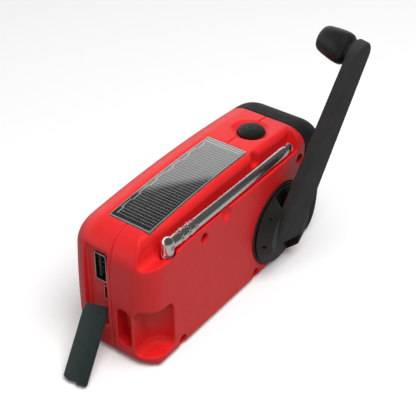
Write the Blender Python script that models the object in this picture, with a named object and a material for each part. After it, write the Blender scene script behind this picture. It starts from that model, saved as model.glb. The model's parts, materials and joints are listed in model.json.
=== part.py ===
"""Hand-crank emergency radio with solar panel, flashlight head and telescopic antenna.

Frame: origin at the centre of the bottom rest face, +X towards the charging ports, +Y towards the
crank (the rear), +Z up. Sizes in this file are millimetres; finish() turns them into metres.
"""

import math

import bmesh
import bpy
from mathutils import Matrix, Vector

MM = 0.001

# ---- driving dimensions, mm ---------------------------------------------------------------
PORT_END_X = 63.4  # the body's reach along +X, at the charging ports
HEAD_END_X = -64.0  # and along -X, at the flashlight
HEIGHT = 60.0  # top of the crowned roof
REAR_Y = 21.5  # rear face, where the crank sits
FRONT_Y = -19.6  # front face, where the dial sits
SEAM_Y = 1.6  # plane where the two red shells meet
HEAD_X = -43.0  # plane where the red shells meet the black head
GAP = 0.3  # clearance between neighbouring solids

END_RADIUS = 300.0  # bulge of the port end, seen from the front
HEAD_RADIUS = 110.0  # bulge of the head end
ROOF_RADIUS = 560.0  # crown of the roof
END_MID_Z = 20.0
HEAD_MID_Z = 28.0
CORNER_RADII = (4.5, 13.0, 17.0, 14.0)  # low port, top port, top head, low head
REAR_EDGE = (10.0, 8.0, 7.0, 2.5)  # rounding: depth along Y, reach along X, reach up, reach down
FRONT_EDGE = (11.0, 8.0, 10.0, 3.0)
WALL = 2.3
REAR_WALL = 3.2

CRANK_X = -24.0
CRANK_Z = 21.5
CRANK_ANGLE = 107.5  # rest direction of the arm, from +X towards +Z, degrees
ARM_LIFT = 9.0  # rest lift of the arm away from the rear face, degrees
BEZEL_RADIUS = 19.0
BEZEL_FACE = 21.9
HUB_RADII = (18.3, 15.0)
HUB_Y = (22.2, 28.3)
HUB_BOSS = (5.0, 20.4)  # radius of the boss behind the hub, and where it ends
SLOT_FLOOR = 23.0
SHAFT_RADIUS = 3.0
ARM_HALF_WIDTHS = (10.2, 6.4)
ARM_THICKNESS = 4.6
ARM_ROOT = -6.0  # root end of the arm, measured from the crank axis
PIN_PLACE = -3.0  # fold pin, measured from the crank axis
PIN_Y = 26.5
PIN_RADIUS = 1.1
ARM_REACH = 81.0  # crank axis to knob axis with the arm flat
KNOB_LENGTH = 14.6

GEAR_MODULE = 0.85
GEAR_TEETH = (34, 10, 31, 10)  # crank gear, compound pinion, compound wheel, rotor pinion
GEAR_BACKLASH = 0.3
COMPOUND_BEARING = 20.0  # direction from the crank axis to the compound gear, degrees
ROTOR_BEARING = -10.0  # direction from the compound gear to the rotor

ANTENNA_PIVOT = (48.0, 18.2, 53.1)
ANTENNA_TIP_X = -36.7
TUBE_RADII = ((2.55, 2.3), (2.15, 1.9), (1.75, 1.5), (1.35, 0.0))
CHANNEL_RADIUS = 3.1  # the groove's rounded inner corner
GROOVE_LIP = 3.0  # soft rounding of the groove's upper edge
GROOVE_END_SLOPE = -0.38  # lean of the groove's end beyond the antenna's tip

PANEL_X = (-13.0, 50.6)
PANEL_Y = (-7.8, 11.8)
PANEL_THICKNESS = 2.0
PANEL_PROUD = 0.25

BUTTON_X, BUTTON_Y = -29.0, 3.0
BUTTON_RADIUS = 5.8
BUTTON_RING = 8.7

NOTCH_X = 56.4
NOTCH_RADIUS = 7.6
NOTCH_Y = 12.4
POCKET_FLOOR_X = 56.8  # floor of the strap pocket beside the notch
POCKET_Y = (4.2, 11.0)
POCKET_Z = (7.5, 26.0)
STRAP_HOLE = (6.8, 10.2)
STRAP_HOLE_RADIUS = 1.6
NOTCH_Z = (5.0, 28.5)

PORT_Y = (-11.6, -0.1)
PORT_Z = (14.0, 49.5)
PORT_FLOOR_X = 60.4
USB_Y, USB_Z = -4.6, 40.0
USB_SIZE = (5.7, 13.1)
MICRO_Y, MICRO_Z = -2.6, 28.2
MICRO_SIZE = (2.2, 6.8)
COVER_HINGE = (62.9, -5.9, 21.9)
COVER_AXIS = (-0.0804, 0.9932, 0.0912)  # a few degrees off Y, so that the open cover swings aside
COVER_OPEN = 131.66  # from closed to rest, degrees
COVER_LENGTH = 31.8
COVER_WIDTH = 10.8

SPEAKER_X, SPEAKER_Z = -16.0, 29.5
SPEAKER_RADIUS = 17.5
DIAL_X = (9.0, 53.0)
DIAL_Z = (25.0, 40.0)
TUNING_X, VOLUME_X, KNOB_Z = 43.0, 23.0, 13.5
TUNING_RADIUS, VOLUME_RADIUS = 8.0, 6.5
SWITCH_X, SWITCH_Z = 46.0, 46.5
LAMP_X, LAMP_Z = 16.0, 46.0  # charge lamp
HEAD_Y = 1.0  # middle of the flashlight's lens

SCREW_PLACES = ((29.2, 46.2), (-8.0, 3.9), (-39.0, 46.4), (43.5, 3.9))
BOSS_RADIUS = 2.9
SCREW_HEAD_Y = 20.0


# ---- materials ----------------------------------------------------------------------------
def material(name, colour, roughness, metallic=0.0):
    made = bpy.data.materials.new(name)
    made.use_nodes = True
    shader = made.node_tree.nodes["Principled BSDF"]
    shader.inputs["Base Color"].default_value = (*colour, 1.0)
    shader.inputs["Roughness"].default_value = roughness
    shader.inputs["Metallic"].default_value = metallic
    return made


RED = material("red_abs", (0.80, 0.02, 0.02), 0.42)
BLACK = material("black_abs", (0.035, 0.035, 0.036), 0.5)
RUBBER = material("dark_rubber", (0.03, 0.045, 0.045), 0.7)
CHROME = material("chrome", (0.85, 0.85, 0.86), 0.1, 1.0)
STEEL = material("steel", (0.6, 0.6, 0.6), 0.3, 1.0)
CLEAR = material("clear_plastic", (0.9, 0.93, 0.95), 0.05)
CELL = material("solar_cell", (0.02, 0.02, 0.03), 0.15)
BOARD = material("green_board", (0.02, 0.2, 0.08), 0.5)
COPPER = material("copper", (0.7, 0.3, 0.15), 0.3, 1.0)
WHITE = material("white_nylon", (0.8, 0.8, 0.76), 0.5)
FOIL = material("cell_wrap", (0.1, 0.2, 0.5), 0.4)
FERRITE = material("ferrite", (0.05, 0.05, 0.055), 0.8)


# ---- shape helpers ------------------------------------------------------------------------
def clear_scene():
    for obj in list(bpy.data.objects):
        bpy.data.objects.remove(obj, do_unlink=True)


def empty_at(name, location, rotation=(0.0, 0.0, 0.0), parent=None):
    """An empty on a joint's axis, which carries the pieces that turn or slide there."""
    empty = bpy.data.objects.new(name, None)
    empty.location = Vector(location) * MM
    empty.rotation_euler = [math.radians(a) for a in rotation]
    empty.parent = parent
    bpy.context.scene.collection.objects.link(empty)
    return empty


def finish(name, bm, look, parent=None, location=(0.0, 0.0, 0.0), rotation=(0.0, 0.0, 0.0)):
    """Turns a bmesh in millimetres into a placed object in metres."""
    bmesh.ops.recalc_face_normals(bm, faces=bm.faces)
    bmesh.ops.scale(bm, vec=(MM, MM, MM), verts=bm.verts)
    mesh = bpy.data.meshes.new(name)
    bm.to_mesh(mesh)
    bm.free()
    mesh.shade_smooth()
    mesh.set_sharp_from_angle(angle=math.radians(35))
    if look:
        mesh.materials.append(look)
    obj = bpy.data.objects.new(name, mesh)
    bpy.context.scene.collection.objects.link(obj)
    obj.location = Vector(location) * MM
    obj.rotation_euler = [math.radians(a) for a in rotation]
    obj.parent = parent
    return obj


def boolean(target, other, operation="DIFFERENCE"):
    """Cuts other out of target, or joins it on; other becomes a hidden helper."""
    other.hide_render = True
    other.display_type = "WIRE"
    modifier = target.modifiers.new(operation.lower(), "BOOLEAN")
    modifier.operation = operation
    modifier.object = other
    modifier.solver = "EXACT"
    return target


def cut(target, *others):
    for other in others:
        boolean(target, other)
    return target


AXES = {"X": (1, 2, 0), "Y": (2, 0, 1), "Z": (0, 1, 2)}


def along(axis, a, b, c):
    """The point at (a, b) in the cross-section across an axis, and at c along it."""
    point = [0.0, 0.0, 0.0]
    first, second, third = AXES[axis]
    point[first], point[second], point[third] = a, b, c
    return point


def skin(name, rings, look, closed=False, **place):
    """A solid through rings of points; its ends are capped unless it closes on itself."""
    bm = bmesh.new()
    made = [[bm.verts.new(p) for p in ring] for ring in rings]
    count = len(made[0])
    pairs = list(zip(made, made[1:]))
    if closed:
        pairs.append((made[-1], made[0]))
    for one, two in pairs:
        for i in range(count):
            k = (i + 1) % count
            bm.faces.new((one[i], one[k], two[k], two[i]))
    if not closed:
        bm.faces.new(made[0])
        bm.faces.new(made[-1][::-1])
    return finish(name, bm, look, **place)


def turned(name, profile, look, axis="Y", segments=32, closed=False, **place):
    """A solid of revolution; profile is (radius, place along the axis). A closed one is a ring."""
    turns = [2 * math.pi * i / segments for i in range(segments)]
    rings = [
        [along(axis, radius * math.cos(t), radius * math.sin(t), level) for t in turns]
        for radius, level in profile
    ]
    return skin(name, rings, look, closed=closed, **place)


def tube(name, outer, inner, low, high, look, **place):
    profile = [(outer, low), (outer, high), (inner, high), (inner, low)]
    return turned(name, profile, look, closed=True, **place)


def rod(name, radius, low, high, look=None, chamfer=0.0, **place):
    if not chamfer:
        return turned(name, [(radius, low), (radius, high)], look, **place)
    thin = radius - chamfer
    profile = [(thin, low), (radius, low + chamfer), (radius, high - chamfer), (thin, high)]
    return turned(name, profile, look, **place)


def block(name, low, high, look=None, bevel=0.0, **place):
    """A box between two corners, its edges rounded by bevel."""
    bm = bmesh.new()
    bmesh.ops.create_cube(bm, size=1.0)
    for v in bm.verts:
        v.co = [low[k] if v.co[k] < 0 else high[k] for k in range(3)]
    if bevel:
        bmesh.ops.bevel(bm, geom=bm.edges[:], offset=bevel, segments=2, profile=0.5, affect="EDGES")
    return finish(name, bm, look, **place)


def prism(name, outline, axis, low, high, look=None, **place):
    """An outline of (a, b) points pushed along an axis."""
    rings = [[along(axis, a, b, c) for a, b in outline] for c in (low, high)]
    return skin(name, rings, look, **place)


def arc(centre, radius, start, end, steps):
    turns = [math.radians(start + (end - start) * i / steps) for i in range(steps + 1)]
    return [(centre[0] + radius * math.cos(t), centre[1] + radius * math.sin(t)) for t in turns]


def rounded_rectangle(a0, a1, b0, b1, radius, steps=4):
    points = []
    for a, b, start in ((a1, b1, 0), (a0, b1, 90), (a0, b0, 180), (a1, b0, 270)):
        centre = (a - math.copysign(radius, a - a0 - radius), b - math.copysign(radius, b - b0 - radius))
        points += arc(centre, radius, start, start + 90, steps)
    return points


def roof(x, drop=0.0):
    """Height of the roof above x, less a drop measured square to it."""
    radius = ROOF_RADIUS - drop
    return HEIGHT - ROOF_RADIUS + math.sqrt(radius * radius - x * x)


# ---- body form ----------------------------------------------------------------------------
def circles_meet(c1, r1, c2, r2, side):
    """One crossing of two circles; side picks which."""
    d = math.dist(c1, c2)
    a = (r1 * r1 - r2 * r2 + d * d) / (2 * d)
    h = math.sqrt(max(r1 * r1 - a * a, 0.0))
    ux, uz = (c2[0] - c1[0]) / d, (c2[1] - c1[1]) / d
    return (c1[0] + a * ux - side * h * uz, c1[1] + a * uz + side * h * ux)


def bearing(centre, point):
    return math.degrees(math.atan2(point[1] - centre[1], point[0] - centre[0])) % 360


def body_outline(shrink):
    """The body seen from the front, as (x, z, nx, nz), anticlockwise from the low port corner."""
    port, port_r = (PORT_END_X - END_RADIUS, END_MID_Z), END_RADIUS - shrink
    head, head_r = (HEAD_END_X + HEAD_RADIUS, HEAD_MID_Z), HEAD_RADIUS - shrink
    top, top_r = (0.0, HEIGHT - ROOF_RADIUS), ROOF_RADIUS - shrink
    r1, r2, r3, r4 = [r - shrink for r in CORNER_RADII]

    def floor_corner(end, end_r, radius, sign):
        level = shrink + radius
        return (end[0] + sign * math.sqrt((end_r - radius) ** 2 - (level - end[1]) ** 2), level)

    c1 = floor_corner(port, port_r, r1, 1)
    c2 = circles_meet(port, port_r - r2, top, top_r - r2, -1)
    if c2[1] < END_MID_Z:
        c2 = circles_meet(port, port_r - r2, top, top_r - r2, 1)
    c3 = circles_meet(head, head_r - r3, top, top_r - r3, 1)
    if c3[1] < HEAD_MID_Z:
        c3 = circles_meet(head, head_r - r3, top, top_r - r3, -1)
    c4 = floor_corner(head, head_r, r4, -1)
    stretches = (
        (c1, r1, 270, bearing(port, c1), 4),
        (port, port_r, bearing(port, c1), bearing(port, c2), 3),
        (c2, r2, bearing(port, c2), bearing(top, c2), 5),
        (top, top_r, bearing(top, c2), bearing(top, c3), 6),
        (c3, r3, bearing(top, c3), bearing(head, c3), 5),
        (head, head_r, bearing(head, c3), bearing(head, c4), 3),
        (c4, r4, bearing(head, c4), 270, 5),
    )
    points = []
    for centre, radius, start, end, steps in stretches:
        sweep = (end - start + 180) % 360 - 180
        for i in range(steps):
            turn = math.radians(start + sweep * i / steps)
            nx, nz = math.cos(turn), math.sin(turn)
            points.append((centre[0] + radius * nx, centre[1] + radius * nz, nx, nz))
    points.append((c4[0], shrink, 0.0, -1.0))
    return points


def body_ring(outline, y, share, edge, shrink):
    """The outline at depth y, pulled in by a share of the edge rounding's reach."""
    reach_x, reach_up, reach_down = [max(r - shrink, 0.5) * share for r in edge[1:]]
    return [
        (x - reach_x * nx, y, z - (reach_up if nz > 0 else reach_down) * nz)
        for x, z, nx, nz in outline
    ]


def body_form(name, low, high, look=None, shrink=0.0, rear_shrink=None):
    """The body's solid form from low to high along Y; an end at the front or rear face is rounded."""
    outline = body_outline(shrink)
    front = FRONT_Y + shrink
    rear = REAR_Y - (shrink if rear_shrink is None else rear_shrink)
    turns = [math.radians(30 * i) for i in range(4)]
    rings = []
    if low <= FRONT_Y:
        depth = FRONT_EDGE[0] - shrink
        for t in turns:
            y = front + depth * (1 - math.cos(t))
            rings.append(body_ring(outline, y, 1 - math.sin(t), FRONT_EDGE, shrink))
    else:
        rings.append(body_ring(outline, low, 0.0, FRONT_EDGE, shrink))
    if high >= REAR_Y:
        depth = REAR_EDGE[0] - shrink
        for t in reversed(turns):
            y = rear - depth * (1 - math.cos(t))
            rings.append(body_ring(outline, y, 1 - math.sin(t), REAR_EDGE, shrink))
    else:
        rings.append(body_ring(outline, high, 0.0, REAR_EDGE, shrink))
    return skin(name, rings, look)


def x_side(name, low, high):
    """A large block that covers the body between two places along X."""
    return block(name, (low, -40, -20), (high, 40, 80))


# ---- cutters in the case ------------------------------------------------------------------
def crest(x):
    """Height of the body's top outline above x, with the rounded corners."""
    upper = sorted((px, pz) for px, pz, _, nz in body_outline(0.0) if nz > 0)
    for (x0, z0), (x1, z1) in zip(upper, upper[1:]):
        if x0 <= x <= x1:
            return z0 + (z1 - z0) * (x - x0) / (x1 - x0)
    return upper[-1][1] if x > 0 else upper[0][1]


def groove_section(x, foot, floor, lean, soft, slope):
    """Across the antenna's groove: a floor, a rounded corner, a leaning wall and a soft top edge."""
    _, py, _ = ANTENNA_PIVOT
    top = max(crest(x), floor + 6.5) + 0.1
    corner = foot + CHANNEL_RADIUS, floor + CHANNEL_RADIUS
    points = [(30.0, floor + 0.7), (py + 2.3, floor + 1.2)]
    points += arc(corner, CHANNEL_RADIUS, -65, -180, 5)
    wall_top = foot - lean * (top - soft - corner[1])
    points += [(y - soft, z - soft) for y, z in arc((wall_top, top), soft, 0, 90, 3)]
    points += [(wall_top - soft - 1.0, top + 8.0), (30.0, top + 8.0)]
    return [(x + slope * (z - floor), y, z) for y, z in points]


def channel_cutter():
    """The groove for the antenna along the rear top edge.

    Past the antenna's base it grows deeper and wider and runs out of the port-end corner.
    """
    px, py, pz = ANTENNA_PIVOT
    foot, floor = py - CHANNEL_RADIUS, pz - CHANNEL_RADIUS
    lean = 0.02
    end_x = ANTENNA_TIP_X - 0.7
    rings = [groove_section(end_x, foot, floor, lean, GROOVE_LIP, GROOVE_END_SLOPE)]
    for x in (-20.0, 0.0, 20.0, 38.0):
        rings.append(groove_section(x, foot, floor, lean, GROOVE_LIP, 0.0))
    rings.append(groove_section(px - 4.0, foot - 0.4, floor - 0.6, 0.05, 3.2, 0.0))
    rings.append(groove_section(px + 1.5, foot - 1.2, floor - 1.8, 0.15, 3.6, 0.0))
    rings.append(groove_section(px + 6.0, foot - 1.6, floor - 2.0, 0.45, 4.0, 0.0))
    rings.append(groove_section(px + 16.0, foot - 1.8, floor - 2.4, 1.0, 4.0, 0.0))
    return skin("antenna_channel", rings, None)


def finger_notch(name, x, y, radius, low):
    """A small scoop beside the antenna, for a finger."""
    profile = [(radius - 1.2, low), (radius, low + 1.6), (radius, 66.0)]
    return turned(name, profile, None, axis="Z", segments=20, location=(x, y, 0))


def antenna_well():
    px, py, _ = ANTENNA_PIVOT
    return rod("antenna_well", 3.1, 36.0, 56.0, axis="Z", segments=20, location=(px, py, 0))


def notch_cutter():
    """The pocket in the lower rear corner that the folded crank's knob drops into."""
    r = NOTCH_RADIUS
    outline = arc((NOTCH_Y + r, NOTCH_X), r, 180, 270, 5)
    outline += [(30.0, NOTCH_X - r), (30.0, 75.0), (NOTCH_Y, 75.0)]
    low, high = NOTCH_Z
    levels = (
        (low, 2.5),
        (low + 0.9, 0.7),
        (low + 3.0, 0.0),
        (high - 4.5, 0.0),
        (high - 1.2, 1.4),
        (high, 3.6),
    )
    rings = []
    for level, inset in levels:
        rings.append([(x + inset * 0.8, y + inset, level) for y, x in outline])
    return skin("knob_notch", rings, None)


def strap_pocket():
    """The narrow pocket in the end face beside the notch, with the strap's hole at its bottom."""
    outline = rounded_rectangle(*POCKET_Y, *POCKET_Z, 3.0, 4)
    pocket = prism("strap_pocket", outline, "X", POCKET_FLOOR_X, 80.0)
    at = (0, *STRAP_HOLE)
    low, high = POCKET_FLOOR_X - 1.6, POCKET_FLOOR_X + 1.0
    hole = rod("strap_hole", STRAP_HOLE_RADIUS, low, high, axis="X", segments=16, location=at)
    return pocket, hole


def panel_form(name, grow, thickness, proud, look=None):
    """A slab that follows the roof: the solar panel, or its seat when it grows."""
    x0, x1 = PANEL_X[0] - grow, PANEL_X[1] + grow
    steps = 8
    xs = [x0 + (x1 - x0) * i / steps for i in range(steps + 1)]
    outline = [(roof(x) - thickness, x) for x in xs] + [(roof(x) + proud, x) for x in reversed(xs)]
    return prism(name, outline, "Y", PANEL_Y[0] - grow, PANEL_Y[1] + grow, look)


def button_cutter(name):
    """The button's bore, with the shallow dished ring around it."""
    level = roof(BUTTON_X)
    bore = BUTTON_RADIUS + GAP
    profile = [(bore, 50.0), (bore, level - 1.0), (BUTTON_RING - 1.2, level - 0.8)]
    profile += [(BUTTON_RING, level + 0.3), (BUTTON_RING, level + 6.0)]
    return turned(name, profile, None, axis="Z", location=(BUTTON_X, BUTTON_Y, 0))


def case_cavity(name, low, high):
    """The room inside the red shells: the body's form, less the material round each pocket."""
    cavity = body_form(name, low, high, shrink=WALL, rear_shrink=REAR_WALL)
    px, py, pz = ANTENNA_PIVOT
    cut(cavity, x_side(name + "_head_side", -90.0, HEAD_X + GAP / 2 + 1.5))
    cut(cavity, block(name + "_channel_lining", (-70, py - 7.4, pz - 7.2), (80, 40, 80)))
    cut(cavity, block(name + "_well_lining", (px - 5, py - 6.2, 33.5), (80, 40, 60)))
    lining = (NOTCH_X - NOTCH_RADIUS - 1.8, NOTCH_Y - 1.8, -10)
    cut(cavity, block(name + "_notch_lining", lining, (80, 40, NOTCH_Z[1] + 1.8)))
    lining = (POCKET_FLOOR_X - 3.2, POCKET_Y[0] - 1.8, -10)
    cut(cavity, block(name + "_pocket_lining", lining, (80, 40, POCKET_Z[1] + 1.8)))
    lining = (PORT_FLOOR_X - 1.8, PORT_Y[0] - 1.8, PORT_Z[0] - 2)
    cut(cavity, block(name + "_port_lining", lining, (80, 1.7, 53)))
    cut(cavity, block(name + "_panel_lining", (-16, -11, 55.0), (54, 14, 80)))
    return cavity


def boss_cutter(name, radius, low, high, place):
    x, z = place
    return rod(name, radius, low, high, segments=16, location=(x, 0, z))


# ---- case ---------------------------------------------------------------------------------
def make_rear_case():
    case = body_form("rear_case", SEAM_Y + GAP / 2, REAR_Y, RED)
    cut(case, x_side("rear_case_head_side", -90, HEAD_X + GAP / 2))
    cut(case, case_cavity("rear_room", SEAM_Y - 3, REAR_Y))
    for i, place in enumerate(SCREW_PLACES):
        boolean(case, boss_cutter(f"rear_boss_{i}", BOSS_RADIUS, SEAM_Y + GAP / 2, 19.0, place), "UNION")
    cut(case, channel_cutter(), antenna_well(), notch_cutter(), *strap_pocket())
    cut(case, finger_notch("lip_scoop", 14.4, 22.4, 3.0, 46.4))
    cut(case, finger_notch("roof_scoop", -14.5, 15.6, 2.6, 52.0))
    cut(case, panel_form("panel_seat_rear", GAP, PANEL_THICKNESS + GAP, 6.0))
    cut(case, button_cutter("button_bore_rear"))
    crank_at = (CRANK_X, 0, CRANK_Z)
    cut(case, rod("bezel_seat", BEZEL_RADIUS + GAP, 20.0, 30.0, segments=48, location=crank_at))
    cut(case, rod("shaft_hole", SHAFT_RADIUS + 1.0, 10.0, 30.0, segments=20, location=crank_at))
    cut(case, boss_cutter("arbor_socket", 1.3, 17.0, 19.2, gear_places()[1]))
    for i, place in enumerate(SCREW_PLACES):
        cut(case, boss_cutter(f"screw_bore_{i}", 1.2, -10.0, 30.0, place))
        cut(case, boss_cutter(f"screw_mouth_{i}", 2.2, 16.5, 40.0, place))
    return case


def make_front_case():
    case = body_form("front_case", FRONT_Y, SEAM_Y - GAP / 2, RED)
    cut(case, x_side("front_case_head_side", -90, HEAD_X + GAP / 2))
    cut(case, case_cavity("front_room", FRONT_Y, SEAM_Y + 3))
    for i, place in enumerate(SCREW_PLACES):
        root = FRONT_Y + (1.5 if place[1] > HEIGHT / 2 else 5.0)
        boolean(case, boss_cutter(f"front_boss_{i}", BOSS_RADIUS, root, SEAM_Y - GAP / 2, place), "UNION")
        cut(case, boss_cutter(f"screw_pilot_{i}", 1.2, -6.0, 10.0, place))
    cut(case, panel_form("panel_seat_front", GAP, PANEL_THICKNESS + GAP, 6.0))
    cut(case, button_cutter("button_bore_front"))
    y0, y1 = PORT_Y
    recess = rounded_rectangle(y0, y1, PORT_Z[0], PORT_Z[1], 1.6, 3)
    cut(case, prism("port_recess", recess, "X", PORT_FLOOR_X, 80))
    opening = rounded_rectangle(*port_box(USB_Y, USB_Z, USB_SIZE, GAP), 0.8, 2)
    cut(case, prism("usb_opening", opening, "X", 40, 70))
    opening = rounded_rectangle(*port_box(MICRO_Y, MICRO_Z, MICRO_SIZE, GAP), 0.5, 2)
    cut(case, prism("micro_opening", opening, "X", 40, 70))
    speaker_at = (SPEAKER_X, 0, SPEAKER_Z)
    cut(case, rod("speaker_mouth", SPEAKER_RADIUS - 1.0, -30, -15, segments=40, location=speaker_at))
    seat = SPEAKER_RADIUS + 1.5
    cut(case, rod("grille_seat", seat, -30, FRONT_Y + 1.0, segments=40, location=speaker_at))
    window = rounded_rectangle(DIAL_Z[0] - GAP, DIAL_Z[1] + GAP, DIAL_X[0] - GAP, DIAL_X[1] + GAP, 2, 3)
    cut(case, prism("dial_seat", window, "Y", -30, FRONT_Y + 1.2))
    inner = rounded_rectangle(DIAL_Z[0] + 1, DIAL_Z[1] - 1, DIAL_X[0] + 1, DIAL_X[1] - 1, 1.5, 3)
    cut(case, prism("dial_mouth", inner, "Y", -30, -10))
    for name, x, radius in (("tuning", TUNING_X, TUNING_RADIUS), ("volume", VOLUME_X, VOLUME_RADIUS)):
        cut(case, rod(name + "_seat", radius + 0.6, -30, FRONT_Y + 1.1, location=(x, 0, KNOB_Z)))
        cut(case, rod(name + "_hole", 2.2, -30, -10, segments=16, location=(x, 0, KNOB_Z)))
    slot = (SWITCH_X - 5, -30, SWITCH_Z - 1.8), (SWITCH_X + 5, -10, SWITCH_Z + 1.8)
    cut(case, block("switch_slot", *slot))
    cut(case, rod("charge_lamp_hole", 1.6, -30, -10, segments=16, location=(LAMP_X, 0, LAMP_Z)))
    return case


def port_box(y, z, size, grow):
    width, height = size
    return (y - width / 2 - grow, y + width / 2 + grow, z - height / 2 - grow, z + height / 2 + grow)


def make_lamp_head():
    head = body_form("lamp_head", FRONT_Y, REAR_Y, BLACK)
    cut(head, x_side("head_case_side", HEAD_X - GAP / 2, 90))
    room = body_form("head_room", FRONT_Y, REAR_Y, shrink=3.4)
    cut(head, room)
    seat = rounded_rectangle(HEAD_Y - 12.3, HEAD_Y + 12.3, 14.7, 44.3, 3.0, 4)
    cut(head, prism("lens_seat", seat, "X", -90, -61.6))
    mouth = rounded_rectangle(HEAD_Y - 11.2, HEAD_Y + 11.2, 15.8, 43.2, 2.4, 4)
    cut(head, prism("lens_mouth", mouth, "X", -90, -55))
    return head


def make_flashlight():
    lens = rounded_rectangle(HEAD_Y - 12.0, HEAD_Y + 12.0, 15.0, 44.0, 2.7, 4)
    prism("lamp_lens", lens, "X", -63.0, -61.9, CLEAR)
    reflector = block("lamp_reflector", (-59.3, HEAD_Y - 10.8, 16.2), (-53.0, HEAD_Y + 10.8, 42.8), CHROME)
    for i in range(3):
        z = 29.5 + (i - 1) * 8.7
        bowl = [(2.0, -50.0), (2.0, -54.5), (2.6, -55.5), (3.6, -58.5), (4.0, -62.0)]
        cut(reflector, turned(f"bowl_{i}", bowl, None, axis="X", segments=20, location=(0, HEAD_Y, z)))
        dome = [(1.5, -52.0), (1.5, -55.6), (1.2, -56.4), (0.6, -56.9)]
        turned(f"lamp_led_{i + 1}", dome, CLEAR, axis="X", segments=16, location=(0, HEAD_Y, z))
    block("lamp_board", (-51.6, HEAD_Y - 10.5, 16.5), (-50.2, HEAD_Y + 10.5, 42.5), BOARD)


def make_screws():
    for i, (x, z) in enumerate(SCREW_PLACES):
        profile = [(0.9, -4.0), (0.9, 16.9), (1.8, 16.9), (1.9, 17.2), (1.9, 17.9), (1.5, 18.3)]
        turned(f"case_screw_{i + 1}", profile, STEEL, segments=12, location=(x, 0, z))


# ---- crank and generator ------------------------------------------------------------------
def involute_outline(teeth, module, start_turn):
    """A spur gear outline: 25 degree involutes with a short tip, so that small pinions still mesh."""
    pressure = math.radians(25)
    pitch = module * teeth / 2
    base = pitch * math.cos(pressure)
    tip = pitch + 0.8 * module
    root = pitch - 1.15 * module
    half = math.pi / (2 * teeth) - GEAR_BACKLASH / 2 / pitch

    def flank(radius):
        """Half the angle that a tooth covers at a radius."""
        if radius <= base:
            return half + math.tan(pressure) - pressure
        local = math.acos(base / radius)
        return half + (math.tan(pressure) - pressure) - (math.tan(local) - local)

    levels = [root, pitch, tip]
    points = []
    for i in range(teeth):
        middle = start_turn + 2 * math.pi * i / teeth
        for r in levels:
            points.append((r * math.cos(middle - flank(r)), r * math.sin(middle - flank(r))))
        for r in reversed(levels):
            points.append((r * math.cos(middle + flank(r)), r * math.sin(middle + flank(r))))
    return points


def gear(name, teeth, low, high, bore, start_turn, look, **place):
    outline = [(z, x) for x, z in involute_outline(teeth, GEAR_MODULE, start_turn)]
    made = prism(name, outline, "Y", low, high, look, **place)
    if bore:
        hole = rod(name + "_bore", bore, low - 1, high + 1, segments=16, **place)
        cut(made, hole)
    return made


def gear_places():
    """Centres of the crank gear, the compound gear and the rotor, as (x, z)."""
    first = GEAR_MODULE * (GEAR_TEETH[0] + GEAR_TEETH[1]) / 2
    second = GEAR_MODULE * (GEAR_TEETH[2] + GEAR_TEETH[3]) / 2
    a, b = math.radians(COMPOUND_BEARING), math.radians(ROTOR_BEARING)
    crank = (CRANK_X, CRANK_Z)
    compound = (CRANK_X + first * math.cos(a), CRANK_Z + first * math.sin(a))
    rotor = (compound[0] + second * math.cos(b), compound[1] + second * math.sin(b))
    return crank, compound, rotor


def make_gear_train():
    """A driving tooth points along each line of centres and a gap of the next gear faces it."""
    (cx, cz), (mx, mz), (rx, rz) = gear_places()
    first, second = math.radians(COMPOUND_BEARING), math.radians(ROTOR_BEARING)
    gear("drive_gear", GEAR_TEETH[0], 14.3, 17.4, SHAFT_RADIUS + GAP, first, WHITE, location=(cx, 0, cz))
    facing = first + math.pi + math.pi / GEAR_TEETH[1]
    pinion = gear("compound_pinion", GEAR_TEETH[1], 12.0, 17.9, 0, facing, WHITE, location=(mx, 0, mz))
    wheel = gear("compound_gear", GEAR_TEETH[2], 10.0, 13.2, 0, second, WHITE, location=(mx, 0, mz))
    boolean(wheel, pinion, "UNION")
    cut(wheel, rod("compound_bore", 1.3, 5.0, 20.0, segments=16, location=(mx, 0, mz)))
    rod("compound_arbor", 1.0, 6.9, 18.9, STEEL, segments=16, location=(mx, 0, mz))
    facing = second + math.pi + math.pi / GEAR_TEETH[3]
    gear("rotor_pinion", GEAR_TEETH[3], 9.6, 13.6, 1.3, facing, STEEL, location=(rx, 0, rz))
    rod("crank_shaft", SHAFT_RADIUS, 4.6, 22.4, STEEL, segments=24, location=(cx, 0, cz))

    plate = rounded_rectangle(9.2, 38.0, -38.0, 21.5, 4.0, 3)
    plate = prism("gearbox_plate", plate, "Y", 6.6, 8.2, STEEL)
    cut(plate, rod("plate_shaft_hole", SHAFT_RADIUS + GAP, 0, 12, segments=24, location=(cx, 0, cz)))
    cut(plate, rod("plate_rotor_hole", 1.3, 0, 12, segments=16, location=(rx, 0, rz)))
    cut(plate, rod("plate_arbor_hole", 1.3, 0, 12, segments=16, location=(mx, 0, mz)))

    can = [(10.0, -4.0), (10.0, 6.2), (1.4, 6.2), (1.4, 5.2), (9.2, 5.2), (9.2, -4.0)]
    turned("generator_can", can, STEEL, segments=24, closed=True, location=(rx, 0, rz))
    rotor = [(1.0, -3.6), (8.6, -3.6), (8.6, 4.2), (1.0, 4.2), (1.0, 13.3)]
    turned("generator_rotor", rotor, COPPER, segments=20, location=(rx, 0, rz))


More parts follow.
